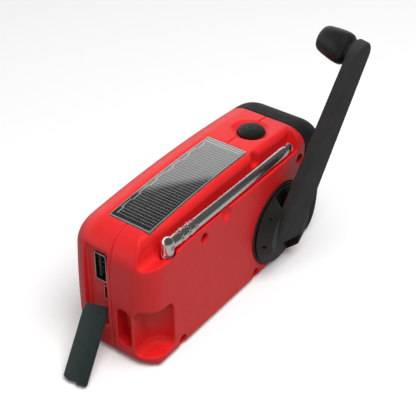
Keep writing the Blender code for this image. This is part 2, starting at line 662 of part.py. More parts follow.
def make_crank():
    """Bezel on the case; hub, shaft and fold pin that turn; the folding arm and the free knob."""
    at = (CRANK_X, 0, CRANK_Z)
    bore = HUB_BOSS[0] + GAP
    bezel = [(BEZEL_RADIUS, 20.3), (BEZEL_RADIUS, BEZEL_FACE - 0.4), (BEZEL_RADIUS - 0.4, BEZEL_FACE)]
    bezel += [(bore, BEZEL_FACE), (bore, 20.3)]
    turned("crank_bezel", bezel, BLACK, segments=36, closed=True, location=at)

    crank = empty_at("crank_axis", at, (0, -CRANK_ANGLE, 0))
    low, high = HUB_Y
    boss, boss_end = HUB_BOSS
    wide, narrow = HUB_RADII
    profile = [(boss, boss_end), (boss, low), (wide - 0.5, low), (wide, low + 0.5)]
    profile += [(narrow, high - 0.5), (narrow - 0.6, high)]
    hub = turned("crank_hub", profile, BLACK, segments=36, parent=crank)
    half = ARM_HALF_WIDTHS[0] + 0.35
    cut(hub, block("arm_slot", (-30, SLOT_FLOOR, -half), (30, 40, half), parent=crank))
    cut(hub, rod("hub_bore", SHAFT_RADIUS + GAP, 0, 22.6, segments=24, parent=crank))

    pin_at = (PIN_PLACE, PIN_Y, 0)
    pin_hole = PIN_RADIUS + GAP
    pin = {"axis": "Z", "segments": 16, "location": pin_at, "parent": crank}
    cut(hub, rod("hub_pin_hole", pin_hole, -20, 20, **pin))
    rod("arm_hinge_pin", PIN_RADIUS, -13.4, 13.4, STEEL, **pin)

    fold = empty_at("arm_axis", pin_at, (0, 0, ARM_LIFT), parent=crank)
    knob_x = ARM_REACH - PIN_PLACE
    arm = make_arm(fold, knob_x)
    cut(arm, rod("arm_pin_hole", pin_hole, -20, 20, axis="Z", segments=16, parent=fold))
    make_knob(fold, knob_x)


def make_arm(fold, knob_x):
    """The tapered arm, its inner and outer edges softened, with a boss hole for the knob pin."""
    half = ARM_THICKNESS / 2
    wide, narrow = ARM_HALF_WIDTHS
    root = ARM_ROOT - PIN_PLACE
    slope = math.degrees(math.atan2(wide - narrow, knob_x - root))

    def outline(inset):
        corner = 1.2
        points = arc((knob_x, 0), narrow - inset, -90 + slope, 90 - slope, 10)
        points += arc((root + inset + corner, wide - inset - corner), corner, 90 - slope, 180, 3)
        points += arc((root + inset + corner, -wide + inset + corner), corner, 180, 270 + slope, 3)
        return points

    soft = 0.5
    rings = []
    for y, inset in ((-half, soft), (-half + soft, 0.0), (half - soft, 0.0), (half, soft)):
        rings.append([(x, y, z) for x, z in outline(inset)])
    arm = skin("crank_arm", rings, BLACK, parent=fold)
    knob_at = (knob_x, 0, 0)
    return cut(arm, rod("knob_pin_hole", 1.6, -10, 1.3, segments=16, location=knob_at, parent=fold))


def make_knob(fold, knob_x):
    """The grip turns freely on a pin fixed in the arm, on the side that faces the case."""
    top = -ARM_THICKNESS / 2 - 0.4
    low = top - KNOB_LENGTH
    at = (knob_x, 0, 0)
    profile = [
        (4.2, top),
        (4.4, top - 1.2),
        (6.4, top - 2.4),
        (6.8, top - 4.2),
        (6.5, top - 7.5),
        (5.8, low + 2.6),
        (5.2, low + 1.0),
        (4.2, low),
        (2.9, low),
        (2.9, low + 1.8),
        (1.7, low + 1.8),
        (1.7, top),
    ]
    turned("crank_knob", profile, BLACK, segments=24, closed=True, location=at, parent=fold)
    pin = [(2.6, low + 0.4), (2.6, low + 1.5), (1.3, low + 1.5), (1.3, 1.0)]
    turned("knob_pin", pin, STEEL, segments=16, location=at, parent=fold)


# ---- antenna ------------------------------------------------------------------------------
def make_antenna():
    px, py, pz = ANTENNA_PIVOT
    base = turned(
        "antenna_base",
        [(2.7, 37.0), (2.7, pz - 3.6), (2.4, pz - 3.2)],
        CHROME,
        axis="Z",
        segments=24,
        location=(px, py, 0),
    )
    tongue = arc((0.0, 0.0), 2.2, 0, 180, 8) + [(-2.2, -5.0), (2.2, -5.0)]
    tongue = prism("base_tongue", tongue, "X", -0.7, 0.7)
    tongue.rotation_euler = (0, 0, math.radians(90))
    tongue.location = Vector(ANTENNA_PIVOT) * MM
    boolean(base, tongue, "UNION")
    pivot = empty_at("antenna_axis", ANTENNA_PIVOT)
    cut(base, rod("tongue_hole", 0.9, -5, 5, segments=16, location=ANTENNA_PIVOT))

    fork = rod("antenna_fork", 2.7, -2.6, 2.6, CHROME, segments=24, chamfer=0.3, parent=pivot)
    neck = rod("fork_neck", 2.2, -8.2, -1.0, None, axis="X", segments=24, parent=pivot)
    boolean(fork, neck, "UNION")
    cut(fork, block("fork_gap", (-2.9, -1.0, -6), (6, 1.0, 6), parent=pivot))
    cut(fork, rod("fork_hole", 0.9, -5, 5, segments=16, parent=pivot))
    rod("antenna_pin", 0.6, -2.5, 2.5, STEEL, segments=12, parent=pivot)

    end = -79.0
    outer, inner = TUBE_RADII[0]
    crimp = [(outer, -8.5), (outer, end + 1.0), (inner, end), (inner - 0.02, end), (inner - 0.02, -8.5)]
    turned("antenna_tube_1", crimp, CHROME, axis="X", segments=20, closed=True, parent=pivot)
    for i, (outer, inner) in enumerate(TUBE_RADII[1:3]):
        low, high = end - 1.0 - i, -9.0 - 2 * i
        name = f"antenna_tube_{i + 2}"
        tube(name, outer, inner, low, high, CHROME, axis="X", segments=20, parent=pivot)
    radius = TUBE_RADII[3][0]
    rod("antenna_tube_4", radius, end - 1.5, -14.0, CHROME, axis="X", segments=20, parent=pivot)
    ball_x = ANTENNA_TIP_X - px + 2.0
    ball = [(1.2, end - 1.8)]
    ball += [(r, ball_x + s) for s, r in arc((0, 0), 2.0, 38, 160, 6)]
    turned("antenna_tip", ball, CHROME, axis="X", segments=20, parent=pivot)


# ---- button, ports and rubber cover ----------------------------------------------------------
def make_lamp_button():
    level = roof(BUTTON_X)
    rim = BUTTON_RADIUS
    profile = [(7.0, 54.2), (7.0, 55.2), (rim, 55.2), (rim, level - 0.5)]
    profile += [(rim - 0.5, level + 0.35), (rim - 2.0, level + 0.8), (1.5, level + 1.0)]
    axis = empty_at("button_axis", (BUTTON_X, BUTTON_Y, 0))
    turned("lamp_button", profile, RUBBER, axis="Z", parent=axis)
    low, high = (BUTTON_X - 3, BUTTON_Y - 3, 49.2), (BUTTON_X + 3, BUTTON_Y + 3, 52.8)
    block("button_switch", low, high, FERRITE)


def make_ports():
    outer = rounded_rectangle(*port_box(USB_Y, USB_Z, USB_SIZE, 0.0), 0.6, 2)
    shell = prism("usb_shell", outer, "X", 48.0, PORT_FLOOR_X + 0.4, STEEL)
    room = rounded_rectangle(*port_box(USB_Y, USB_Z, USB_SIZE, -0.4), 0.3, 2)
    cut(shell, prism("usb_room", room, "X", 49.0, 70.0))
    low, high = (49.3, USB_Y - 1.9, USB_Z - 5.6), (PORT_FLOOR_X - 0.6, USB_Y - 0.2, USB_Z + 5.6)
    block("usb_tongue", low, high, WHITE)
    outer = rounded_rectangle(*port_box(MICRO_Y, MICRO_Z, MICRO_SIZE, 0.0), 0.5, 2)
    shell = prism("micro_usb_shell", outer, "X", 55.0, PORT_FLOOR_X + 0.2, STEEL)
    room = rounded_rectangle(*port_box(MICRO_Y, MICRO_Z, MICRO_SIZE, -0.3), 0.3, 2)
    cut(shell, prism("micro_room", room, "X", 56.0, 70.0))


def make_port_cover():
    """Built closed, running up from its hinge line, then hung open with its tip near the floor."""
    swing = Matrix.Rotation(math.radians(COVER_OPEN), 3, Vector(COVER_AXIS)).to_euler()
    axis = empty_at("cover_axis", COVER_HINGE, [math.degrees(a) for a in swing])
    half = COVER_WIDTH / 2
    outline = [(0.7 - half, 0.0), (half - 0.9, 0.0), (half, 3.5), (half, COVER_LENGTH - 1.5)]
    outline += arc((half - 1.2, COVER_LENGTH - 1.2), 1.2, 0, 90, 3)
    outline += [(1.4, COVER_LENGTH), (0.6, COVER_LENGTH - 0.8), (-2.6, COVER_LENGTH - 0.8)]
    outline += arc((1.2 - half, COVER_LENGTH - 2.8), 1.2, 90, 180, 3)
    outline += [(-half, 4.0)]
    rings = [[(face, y, s) for y, s in outline] for face in (-0.5, 1.1)]
    skin("port_cover", rings, RUBBER, parent=axis)


# ---- front controls and electronics -------------------------------------------------------
def make_front_controls():
    speaker_at = (SPEAKER_X, 0, SPEAKER_Z)
    disc = [(SPEAKER_RADIUS + 1.2, FRONT_Y - 0.1), (SPEAKER_RADIUS + 1.2, FRONT_Y + 0.7)]
    grille = turned("speaker_grille", disc, BLACK, segments=40, location=speaker_at)
    for i in range(7):
        level = (i - 3) * 4.2
        reach = math.sqrt(15.0**2 - level**2)
        slot = (-reach, -25, level - 0.8), (reach, -15, level + 0.8)
        cut(grille, block(f"grille_slot_{i}", *slot, location=speaker_at))
    rim = FRONT_Y + 2.5
    frame = [(SPEAKER_RADIUS - 0.5, rim), (SPEAKER_RADIUS - 0.5, rim + 1.0), (8.0, rim + 8.0)]
    frame += [(7.0, rim + 8.0), (7.0, rim + 7.0), (SPEAKER_RADIUS - 2.0, rim)]
    turned("speaker_frame", frame, STEEL, segments=24, closed=True, location=(SPEAKER_X, 0, SPEAKER_Z))
    rod("speaker_magnet", 9.0, rim + 8.4, rim + 13.0, FERRITE, segments=24, location=speaker_at)
    edge = SPEAKER_RADIUS - 2.6
    cone = [(edge, rim - 0.4), (4.0, rim + 4.8), (1.0, rim + 4.0)]
    cone += [(1.0, rim + 3.4), (4.0, rim + 4.1), (edge, rim - 0.9)]
    turned("speaker_cone", cone, FERRITE, segments=24, closed=True, location=speaker_at)

    window = rounded_rectangle(DIAL_Z[0], DIAL_Z[1], DIAL_X[0], DIAL_X[1], 2, 3)
    prism("dial_window", window, "Y", FRONT_Y, FRONT_Y + 0.9, CLEAR)
    low = (DIAL_X[0] + 1.6, FRONT_Y + 4.7, DIAL_Z[0] + 1.4)
    high = (DIAL_X[1] - 1.6, FRONT_Y + 5.7, DIAL_Z[1] - 1.4)
    block("dial_plate", low, high, WHITE)
    middle = (DIAL_X[0] + DIAL_X[1]) / 2
    needle_axis = empty_at("needle_axis", (middle, 0, 0))
    needle = (-0.5, FRONT_Y + 2.9, DIAL_Z[0] + 1.8), (0.5, FRONT_Y + 3.9, DIAL_Z[1] - 1.8)
    block("dial_needle", *needle, RED, parent=needle_axis)

    for name, x, radius in (("tuning", TUNING_X, TUNING_RADIUS), ("volume", VOLUME_X, VOLUME_RADIUS)):
        axis = empty_at(name + "_axis", (x, 0, KNOB_Z))
        base, face = FRONT_Y + 0.8, FRONT_Y - 2.9
        profile = [(1.9, FRONT_Y + 6.2), (1.9, base), (radius, base), (radius, face + 0.8)]
        profile += [(radius - 0.8, face), (1.0, face)]
        knob = turned(name + "_knob", profile, BLACK, segments=24, parent=axis)
        for i in range(8):
            turn = 360 * i / 8
            at = (radius + 0.3, 0, 0)
            rib = rod(f"{name}_flute_{i}", 0.9, -30, FRONT_Y + 0.5, segments=6, location=at)
            holder = empty_at(f"{name}_flute_axis_{i}", (x, 0, KNOB_Z), (0, turn, 0))
            rib.parent = holder
            cut(knob, rib)
    block("tuning_capacitor", (TUNING_X - 7, FRONT_Y + 6.6, 9.0), (TUNING_X + 7, -9.7, 20.0), CLEAR)
    slide_axis = empty_at("switch_axis", (SWITCH_X, 0, SWITCH_Z))
    low, high = (-1.8, FRONT_Y - 1.3, -1.4), (1.8, FRONT_Y + 7.1, 1.4)
    block("band_switch", low, high, BLACK, parent=slide_axis)
    lamp = [(1.3, FRONT_Y + 7.5), (1.3, FRONT_Y + 0.3), (0.7, FRONT_Y - 0.3)]
    turned("charge_lamp", lamp, CLEAR, segments=12, location=(LAMP_X, 0, LAMP_Z))


def make_electronics():
    board = block("main_board", (8.0, -9.4, 7.5), (58.0, -7.9, 50.0), BOARD)
    for i in (0, 3):
        cut(board, boss_cutter(f"board_hole_{i}", BOSS_RADIUS + 0.4, -15, -5, SCREW_PLACES[i]))
    block("battery_pack", (24.0, -7.3, 9.0), (46.0, 2.5, 39.5), FOIL, bevel=1.0)
    rod("ferrite_rod", 3.2, -34.0, 2.0, FERRITE, axis="X", segments=16, location=(0, -11.0, 51.0))
    tube("aerial_coil", 4.1, 3.5, -31.0, -19.0, COPPER, axis="X", segments=20, location=(0, -11.0, 51.0))


clear_scene()
make_rear_case()
make_front_case()
make_lamp_head()
make_flashlight()
make_screws()
make_crank()
make_gear_train()
make_antenna()
panel_form("solar_panel", 0.0, PANEL_THICKNESS, PANEL_PROUD, CELL)
make_lamp_button()
make_ports()
make_port_cover()
make_front_controls()
make_electronics()
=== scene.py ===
"""Looks of a hand-crank emergency radio: fine shells, chrome antenna, crank, solar panel and rubber.

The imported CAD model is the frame. Sizes in this file are millimetres in that frame; finish_mesh()
turns them into metres. Round forms are rebuilt finely here, and each stands for its CAD node.
"""

import json
import math

import bmesh
import bpy
from mathutils import Matrix, Vector


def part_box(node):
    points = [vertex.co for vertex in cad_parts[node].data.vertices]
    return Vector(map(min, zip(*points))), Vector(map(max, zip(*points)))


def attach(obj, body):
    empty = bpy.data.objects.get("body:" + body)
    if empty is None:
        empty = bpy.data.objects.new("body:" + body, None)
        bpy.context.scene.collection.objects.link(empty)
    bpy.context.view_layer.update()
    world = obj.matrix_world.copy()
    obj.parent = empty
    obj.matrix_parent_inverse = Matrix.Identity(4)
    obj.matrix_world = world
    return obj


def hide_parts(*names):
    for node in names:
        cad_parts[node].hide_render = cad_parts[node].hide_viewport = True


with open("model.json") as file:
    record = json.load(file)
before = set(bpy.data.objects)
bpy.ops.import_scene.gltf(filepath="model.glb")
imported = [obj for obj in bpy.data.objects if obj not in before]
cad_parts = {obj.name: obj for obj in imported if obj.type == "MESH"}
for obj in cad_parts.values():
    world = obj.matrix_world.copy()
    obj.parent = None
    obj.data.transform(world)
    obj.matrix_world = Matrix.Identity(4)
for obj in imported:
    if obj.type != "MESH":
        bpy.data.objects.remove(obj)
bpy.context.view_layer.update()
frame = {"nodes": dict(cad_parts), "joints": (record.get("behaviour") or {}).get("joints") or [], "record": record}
NODES = frame["nodes"]

MM = 0.001
JOINTS = {joint["name"]: joint for joint in frame["joints"]}


def box_mm(node):
    """Lowest and highest corner of a CAD node, in millimetres."""
    low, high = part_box(node)
    return low / MM, high / MM


def joint_place(name):
    """A joint's point and its unit axis, in millimetres."""
    joint = JOINTS[name]
    return Vector(joint["pos_m"]) / MM, Vector(joint["axis"]).normalized()


# ---- sizes read from the frame ------------------------------------------------------------
front_low, front_high = box_mm("front_case")
rear_low, rear_high = box_mm("rear_case")
head_low, head_high = box_mm("lamp_head")
panel_low, panel_high = box_mm("solar_panel")
PORT_END_X = rear_high.x
HEAD_END_X = head_low.x
FRONT_Y = front_low.y
REAR_Y = rear_high.y
HEIGHT = round(rear_high.z)
SEAM_Y = (front_high.y + rear_low.y) / 2
HEAD_X = (head_high.x + rear_low.x) / 2

# ---- form of the body, as in the CAD ------------------------------------------------------
END_RADIUS, HEAD_RADIUS, ROOF_RADIUS = 300.0, 110.0, 560.0
END_MID_Z, HEAD_MID_Z = 20.0, 28.0
CORNER_RADII = (4.5, 13.0, 17.0, 14.0)  # low port, top port, top head, low head
REAR_EDGE = (10.0, 8.0, 7.0, 2.5)  # rounding: depth along Y, reach along X, reach up, reach down
FRONT_EDGE = (11.0, 8.0, 10.0, 3.0)
WALL = 2.3
REAR_WALL = 3.2
SEAM_GAP = 0.1
CHANNEL_RADIUS = 3.1
NOTCH_X, NOTCH_RADIUS, NOTCH_Y = 56.4, 7.6, 12.4
NOTCH_Z = (5.0, 28.5)
POCKET_FLOOR_X = 56.8
POCKET_Y, POCKET_Z = (4.2, 11.0), (7.5, 26.0)
STRAP_HOLE = (6.8, 10.2)
PORT_FLOOR_X = 60.4
PORT_Y, PORT_Z = (-11.6, -0.1), (14.0, 49.5)
USB_Y, USB_Z, USB_SIZE = -4.6, 40.0, (5.7, 13.1)
MICRO_Y, MICRO_Z, MICRO_SIZE = -2.6, 28.2, (2.2, 6.8)
CRANK = joint_place("crank_spin")[0]
CRANK_X, CRANK_Z = CRANK.x, CRANK.z
BEZEL_RADIUS = 19.0
BUTTON_X, BUTTON_Y = -29.0, 3.0
BUTTON_RADIUS, BUTTON_RING = 5.8, 8.7
SCREW_PLACES = ((29.2, 46.2), (-8.0, 3.9), (-39.0, 46.4), (43.5, 3.9))
FINE = 3  # arcs here have this many times the CAD's steps
SHELL_VOXEL = 0.42  # size of the even faces of the moulded shells
SHELL_ROUNDS = 5  # how often their edges are relaxed
BEVEL_ANGLE, SHARP_ANGLE = 40.0, 50.0  # edges steeper than these are rounded, or stay sharp
BEYOND = 90  # further out than any part of the body


# ---- shape helpers ------------------------------------------------------------------------
def finish_mesh(name, bm, look, smooth_angle=35.0, place=None):
    """Turns a bmesh in millimetres into an object in metres; place is a matrix in millimetres."""
    if place is not None:
        bmesh.ops.transform(bm, matrix=place, verts=bm.verts)
    bmesh.ops.recalc_face_normals(bm, faces=bm.faces)
    bmesh.ops.scale(bm, vec=(MM, MM, MM), verts=bm.verts)
    mesh = bpy.data.meshes.new(name)
    bm.to_mesh(mesh)
    bm.free()
    mesh.shade_smooth()
    mesh.set_sharp_from_angle(angle=math.radians(smooth_angle))
    if look:
        mesh.materials.append(look)
    obj = bpy.data.objects.new(name, mesh)
    bpy.context.scene.collection.objects.link(obj)
    return obj


AXES = {"X": (1, 2, 0), "Y": (2, 0, 1), "Z": (0, 1, 2)}


def along(axis, a, b, c):
    """The point at (a, b) in the cross-section across an axis, and at c along it."""
    point = [0.0, 0.0, 0.0]
    first, second, third = AXES[axis]
    point[first], point[second], point[third] = a, b, c
    return point


def skin(name, rings, look, closed=False, **options):
    """A solid through rings of points; its ends are capped unless it closes on itself."""
    bm = bmesh.new()
    made = [[bm.verts.new(p) for p in ring] for ring in rings]
    count = len(made[0])
    pairs = list(zip(made, made[1:]))
    if closed:
        pairs.append((made[-1], made[0]))
    for one, two in pairs:
        for i in range(count):
            k = (i + 1) % count
            bm.faces.new((one[i], one[k], two[k], two[i]))
    if not closed:
        bm.faces.new(made[0])
        bm.faces.new(made[-1][::-1])
    return finish_mesh(name, bm, look, **options)


def turned(name, profile, look, axis="Y", centre=(0.0, 0.0, 0.0), segments=64, closed=False, **options):
    """A solid of revolution; profile is (radius, place along the axis). A closed one is a ring."""
    turns = [2 * math.pi * i / segments for i in range(segments)]
    rings = []
    for radius, level in profile:
        ring = [along(axis, radius * math.cos(t), radius * math.sin(t), level) for t in turns]
        rings.append([[p[k] + centre[k] for k in range(3)] for p in ring])
    return skin(name, rings, look, closed=closed, **options)


def rod(name, radius, low, high, look=None, axis="Y", centre=(0.0, 0.0, 0.0), segments=48, **options):
    return turned(name, [(radius, low), (radius, high)], look, axis, centre, segments, **options)


def block(name, low, high, look=None, bevel=0.0, **options):
    """A box between two corners, its edges rounded by bevel."""
    bm = bmesh.new()
    bmesh.ops.create_cube(bm, size=1.0)
    for v in bm.verts:
        v.co = [low[k] if v.co[k] < 0 else high[k] for k in range(3)]
    if bevel:
        bmesh.ops.bevel(bm, geom=bm.edges[:], offset=bevel, segments=3, profile=0.5, affect="EDGES")
    return finish_mesh(name, bm, look, **options)


def prism(name, outline, axis, low, high, look=None, **options):
    """An outline of (a, b) points pushed along an axis."""
    rings = [[along(axis, a, b, c) for a, b in outline] for c in (low, high)]
    return skin(name, rings, look, **options)


def arc(centre, radius, start, end, steps):
    turns = [math.radians(start + (end - start) * i / steps) for i in range(steps + 1)]
    return [(centre[0] + radius * math.cos(t), centre[1] + radius * math.sin(t)) for t in turns]


def rounded_rectangle(a0, a1, b0, b1, radius, steps=8):
    points = []
    for a, b, start in ((a1, b1, 0), (a0, b1, 90), (a0, b0, 180), (a1, b0, 270)):
        centre = (a - math.copysign(radius, a - a0 - radius), b - math.copysign(radius, b - b0 - radius))
        points += arc(centre, radius, start, start + 90, steps)
    return points


def bake(obj):
    """Replaces an object's mesh by what its modifiers give."""
    bpy.context.view_layer.update()
    graph = bpy.context.evaluated_depsgraph_get()
    mesh = bpy.data.meshes.new_from_object(obj.evaluated_get(graph))
    old = obj.data
    obj.modifiers.clear()
    obj.data = mesh
    mesh.name = obj.name
    bpy.data.meshes.remove(old)
    return obj


def boolean(target, others, operation="DIFFERENCE"):
    """Cuts the others out of target, or joins them on, and removes them."""
    for other in others:
        modifier = target.modifiers.new("boolean", "BOOLEAN")
        modifier.operation = operation
        modifier.object = other
        modifier.solver = "EXACT"
    bake(target)
    for other in others:
        mesh = other.data
        bpy.data.objects.remove(other, do_unlink=True)
        bpy.data.meshes.remove(mesh)
    return target


def cut(target, *others):
    return boolean(target, others)


def join(target, *others):
    return boolean(target, others, "UNION")


def soften(obj):
    """Gives a moulded look: the mesh is rebuilt in even small faces and its edges are relaxed."""
    remesh = obj.modifiers.new("even_faces", "REMESH")
    remesh.mode = "VOXEL"
    remesh.voxel_size = SHELL_VOXEL * MM
    remesh.use_smooth_shade = True
    relax = obj.modifiers.new("soft_edges", "SMOOTH")
    relax.factor = 0.5
    relax.iterations = SHELL_ROUNDS
    bake(obj)
    obj.data.shade_smooth()
    return obj


def round_edges(obj, width, segments=3):
    """Small rounded edges by a bevel, for pieces whose faces are clean; the faces keep flat shading."""
    bevel = obj.modifiers.new("edges", "BEVEL")
    bevel.width = width * MM
    bevel.segments = segments
    bevel.limit_method = "ANGLE"
    bevel.angle_limit = math.radians(BEVEL_ANGLE)
    bevel.use_clamp_overlap = True
    bake(obj)
    obj.data.shade_smooth()
    obj.data.set_sharp_from_angle(angle=math.radians(SHARP_ANGLE))
    weighted = obj.modifiers.new("flat_faces", "WEIGHTED_NORMAL")
    weighted.mode = "FACE_AREA"
    weighted.keep_sharp = True
    return bake(obj)


def show(obj, body, slot, *stands_for):
    """Hangs a finished piece on its CAD body and hides the nodes it stands for."""
    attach(obj, body)
    if stands_for:
        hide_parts(*stands_for)
    return obj


# ---- procedural materials -----------------------------------------------------------------
class Look:
    """A node material under construction, with object coordinates in millimetres."""

    def __init__(self, name):
        self.material = bpy.data.materials.new(name)
        self.material.use_nodes = True
        self.tree = self.material.node_tree
        self.shader = self.tree.nodes["Principled BSDF"]
        place = self.tree.nodes.new("ShaderNodeTexCoord")
        scale = self.tree.nodes.new("ShaderNodeVectorMath")
        scale.operation = "SCALE"
        scale.inputs["Scale"].default_value = 1 / MM
        self.link(place.outputs["Object"], scale.inputs[0])
        self.place = scale.outputs["Vector"]

    def link(self, source, target):
        self.tree.links.new(source, target)

    def put(self, target, value):
        """A value may be a number, a colour or another node's output."""
        socket = self.shader.inputs[target] if isinstance(target, str) else target
        if hasattr(value, "is_output"):
            self.link(value, socket)
        elif isinstance(value, tuple) and len(value) == 3:
            socket.default_value = (*value, 1.0) if socket.type == "RGBA" else value
        else:
            socket.default_value = value

    def noise(self, per_mm, detail=3.0, stretch=(1.0, 1.0, 1.0)):
        node = self.tree.nodes.new("ShaderNodeTexNoise")
        node.inputs["Scale"].default_value = per_mm
        node.inputs["Detail"].default_value = detail
        mapping = self.tree.nodes.new("ShaderNodeMapping")
        mapping.inputs["Scale"].default_value = stretch
        self.link(self.place, mapping.inputs["Vector"])
        self.link(mapping.outputs["Vector"], node.inputs["Vector"])
        return node.outputs["Fac"]

    def ramp(self, fac, low, high, start=0.3, end=0.7):
        """Turns a 0..1 value into a number between low and high."""
        node = self.tree.nodes.new("ShaderNodeMapRange")
        node.inputs["From Min"].default_value = start
        node.inputs["From Max"].default_value = end
        node.inputs["To Min"].default_value = low
        node.inputs["To Max"].default_value = high
        self.link(fac, node.inputs["Value"])
        return node.outputs["Result"]

    def mix(self, fac, one, two):
        node = self.tree.nodes.new("ShaderNodeMix")
        node.data_type = "RGBA"
        self.put(node.inputs["Factor"], fac)
        self.put(node.inputs["A"], one)
        self.put(node.inputs["B"], two)
        return node.outputs["Result"]

    def maths(self, operation, one, two=0.0):
        node = self.tree.nodes.new("ShaderNodeMath")
        node.operation = operation
        self.put(node.inputs[0], one)
        self.put(node.inputs[1], two)
        return node.outputs["Value"]

    def axis(self, index):
        node = self.tree.nodes.new("ShaderNodeSeparateXYZ")
        self.link(self.place, node.inputs["Vector"])
        return node.outputs[index]

    def bump(self, height, depth_mm):
        node = self.tree.nodes.new("ShaderNodeBump")
        node.inputs["Strength"].default_value = 1.0
        node.inputs["Distance"].default_value = depth_mm * MM
        self.link(height, node.inputs["Height"])
        return node.outputs["Normal"]

    def product(self, one, two):
        return self.maths("MULTIPLY", one, two)

    def either(self, one, two):
        return self.maths("MAXIMUM", one, two)

    def between(self, value, start, end):
        """1 where the value lies between start and end, else 0."""
        above = self.maths("GREATER_THAN", value, start)
        return self.product(above, self.maths("LESS_THAN", value, end))

    def repeat(self, value, start, pitch):
        """How far the value is through its present pitch, from 0 to 1."""
        return self.maths("FRACT", self.maths("DIVIDE", self.maths("SUBTRACT", value, start), pitch))


def moulded_plastic(name, colour, shade, roughness, grain_mm, grain_depth, edge_light=0.0, shine=0.5):
    """Moulded plastic: faint mottling, fine spark-eroded grain and uneven gloss; with edge_light, a painted
    highlight lightens the colour along rounded edges.
    """
    look = Look(name)
    mottle = look.noise(0.12, 4.0)
    colour_out = look.mix(look.ramp(mottle, 0.0, 1.0), colour, shade)
    # painted highlight: where the bevel normal turns away from the face normal, at rounded edges, the colour is
    # mixed towards a lighter copy of itself
    if edge_light:
        bevel = look.tree.nodes.new("ShaderNodeBevel")
        bevel.inputs["Radius"].default_value = 0.5 * MM
        geometry = look.tree.nodes.new("ShaderNodeNewGeometry")
        dot = look.tree.nodes.new("ShaderNodeVectorMath")
        dot.operation = "DOT_PRODUCT"
        look.link(bevel.outputs["Normal"], dot.inputs[0])
        look.link(geometry.outputs["Normal"], dot.inputs[1])
        painted_edge_highlight = look.ramp(dot.outputs["Value"], edge_light, 0.0, 0.86, 0.99)
        colour_out = look.mix(painted_edge_highlight, colour_out, tuple(min(1.0, c * 2.2 + 0.03) for c in colour))
    look.put("Base Color", colour_out)
    grain = look.noise(1 / grain_mm, 2.0)
    look.put("Roughness", look.ramp(look.noise(0.5, 3.0), roughness - 0.05, roughness + 0.05))
    look.put("Normal", look.bump(grain, grain_depth))
    look.put("IOR", 1.52)
    look.put("Specular IOR Level", shine)
    return look.material


def polished_metal(name, colour, roughness, stretch=(1.0, 1.0, 1.0), streak=0.02):
    """Metal with faint drawn or turned streaks along its length."""
    look = Look(name)
    look.put("Metallic", 1.0)
    streaks = look.noise(2.2, 4.0, stretch)
    darker = tuple(c * 0.86 for c in colour)
    look.put("Base Color", look.mix(look.ramp(streaks, 0.0, 1.0), colour, darker))
    look.put("Roughness", look.ramp(streaks, roughness, roughness + 0.07))
    look.put("Normal", look.bump(streaks, streak))
    return look.material


def clear_plastic(name, tint, roughness):
    look = Look(name)
    shade = tuple(c * 0.97 for c in tint)
    look.put("Base Color", look.mix(look.ramp(look.noise(0.2, 2.0), 0.0, 1.0), tint, shade))
    look.put("Roughness", look.ramp(look.noise(0.6, 3.0), roughness, roughness + 0.03))
    look.put("Transmission Weight", 1.0)
    look.put("IOR", 1.49)
    return look.material


def solar_cells(name):
    """Dark cells with printed silver lines, a stepped bus along the front, two bars and a border."""
    look = Look(name)
    x, y = look.axis(0), look.axis(1)
    finger_pitch, finger_share = 1.6, 0.13
    thread_pitch, thread_share, thread_tone = 1.2, 0.1, 0.35
    border = 0.7
    section_length = 10.4
    low, high = panel_low, panel_high

    def area(x0, x1, y0, y1):
        """1 inside a rectangle, given by its distances from the panel's edges."""
        across = look.between(y, low.y + y0, high.y - y1)
        return look.product(look.between(x, low.x + x0, high.x - x1), across)

    finger = look.maths("LESS_THAN", look.repeat(x, low.x, finger_pitch), finger_share)
    thread = look.maths("LESS_THAN", look.repeat(y, low.y, thread_pitch), thread_share)
    lines = look.either(finger, look.product(thread, thread_tone))
    fingers = look.product(lines, area(4.2, 1.2, 2.6, 1.1))
    rim = look.maths("SUBTRACT", 1.0, area(border, border, border * 0.8, border * 0.7))
    section = look.repeat(x, low.x, section_length)
    inner = look.maths("GREATER_THAN", section, 0.5)
    outer = look.maths("LESS_THAN", section, 0.56)
    inner = look.product(look.between(y, low.y + 1.9, low.y + 2.5), inner)
    outer = look.product(look.between(y, low.y + 1.2, low.y + 1.8), outer)
    bus = look.product(look.either(inner, outer), look.between(x, low.x + 2.6, high.x - 2.2))
    bars = look.either(
        look.between(x, low.x + 1.5, low.x + 2.2), look.between(x, low.x + 3.0, low.x + 3.8)
    )
    bar = look.product(bars, look.between(y, low.y + 1.4, high.y - 1.1))
    printed = look.either(look.either(fingers, bus), bar)
    flecks = look.ramp(look.noise(0.9, 5.0), 0.0, 1.0)
    silicon = look.mix(flecks, (0.004, 0.004, 0.005), (0.009, 0.009, 0.012))
    silver = look.mix(flecks, (0.20, 0.21, 0.20), (0.30, 0.31, 0.29))
    frame_tone = look.mix(flecks, (0.17, 0.18, 0.17), (0.27, 0.28, 0.26))
    look.put("Base Color", look.mix(rim, look.mix(printed, silicon, silver), frame_tone))
    look.put("Roughness", look.ramp(look.noise(0.3, 2.0), 0.10, 0.16))
    look.put("Coat Weight", 1.0)
    look.put("Coat Roughness", 0.02)
    look.put("Coat IOR", 2.1)
    look.put("Normal", look.bump(look.noise(0.25, 2.0), 0.01))
    return look.material


def rubber(name, colour, shade):
    """Matte rubber with a fine pebble and a dusty sheen."""
    look = Look(name)
    look.put("Base Color", look.mix(look.ramp(look.noise(0.35, 5.0), 0.0, 1.0), colour, shade))
    look.put("Roughness", look.ramp(look.noise(0.8, 3.0), 0.52, 0.66))
    look.put("Sheen Weight", 0.06)
    look.put("Sheen Roughness", 0.5)
    look.put("Normal", look.bump(look.noise(2.6, 3.0), 0.03))
    return look.material


def grey(value):
    return (value, value, value)


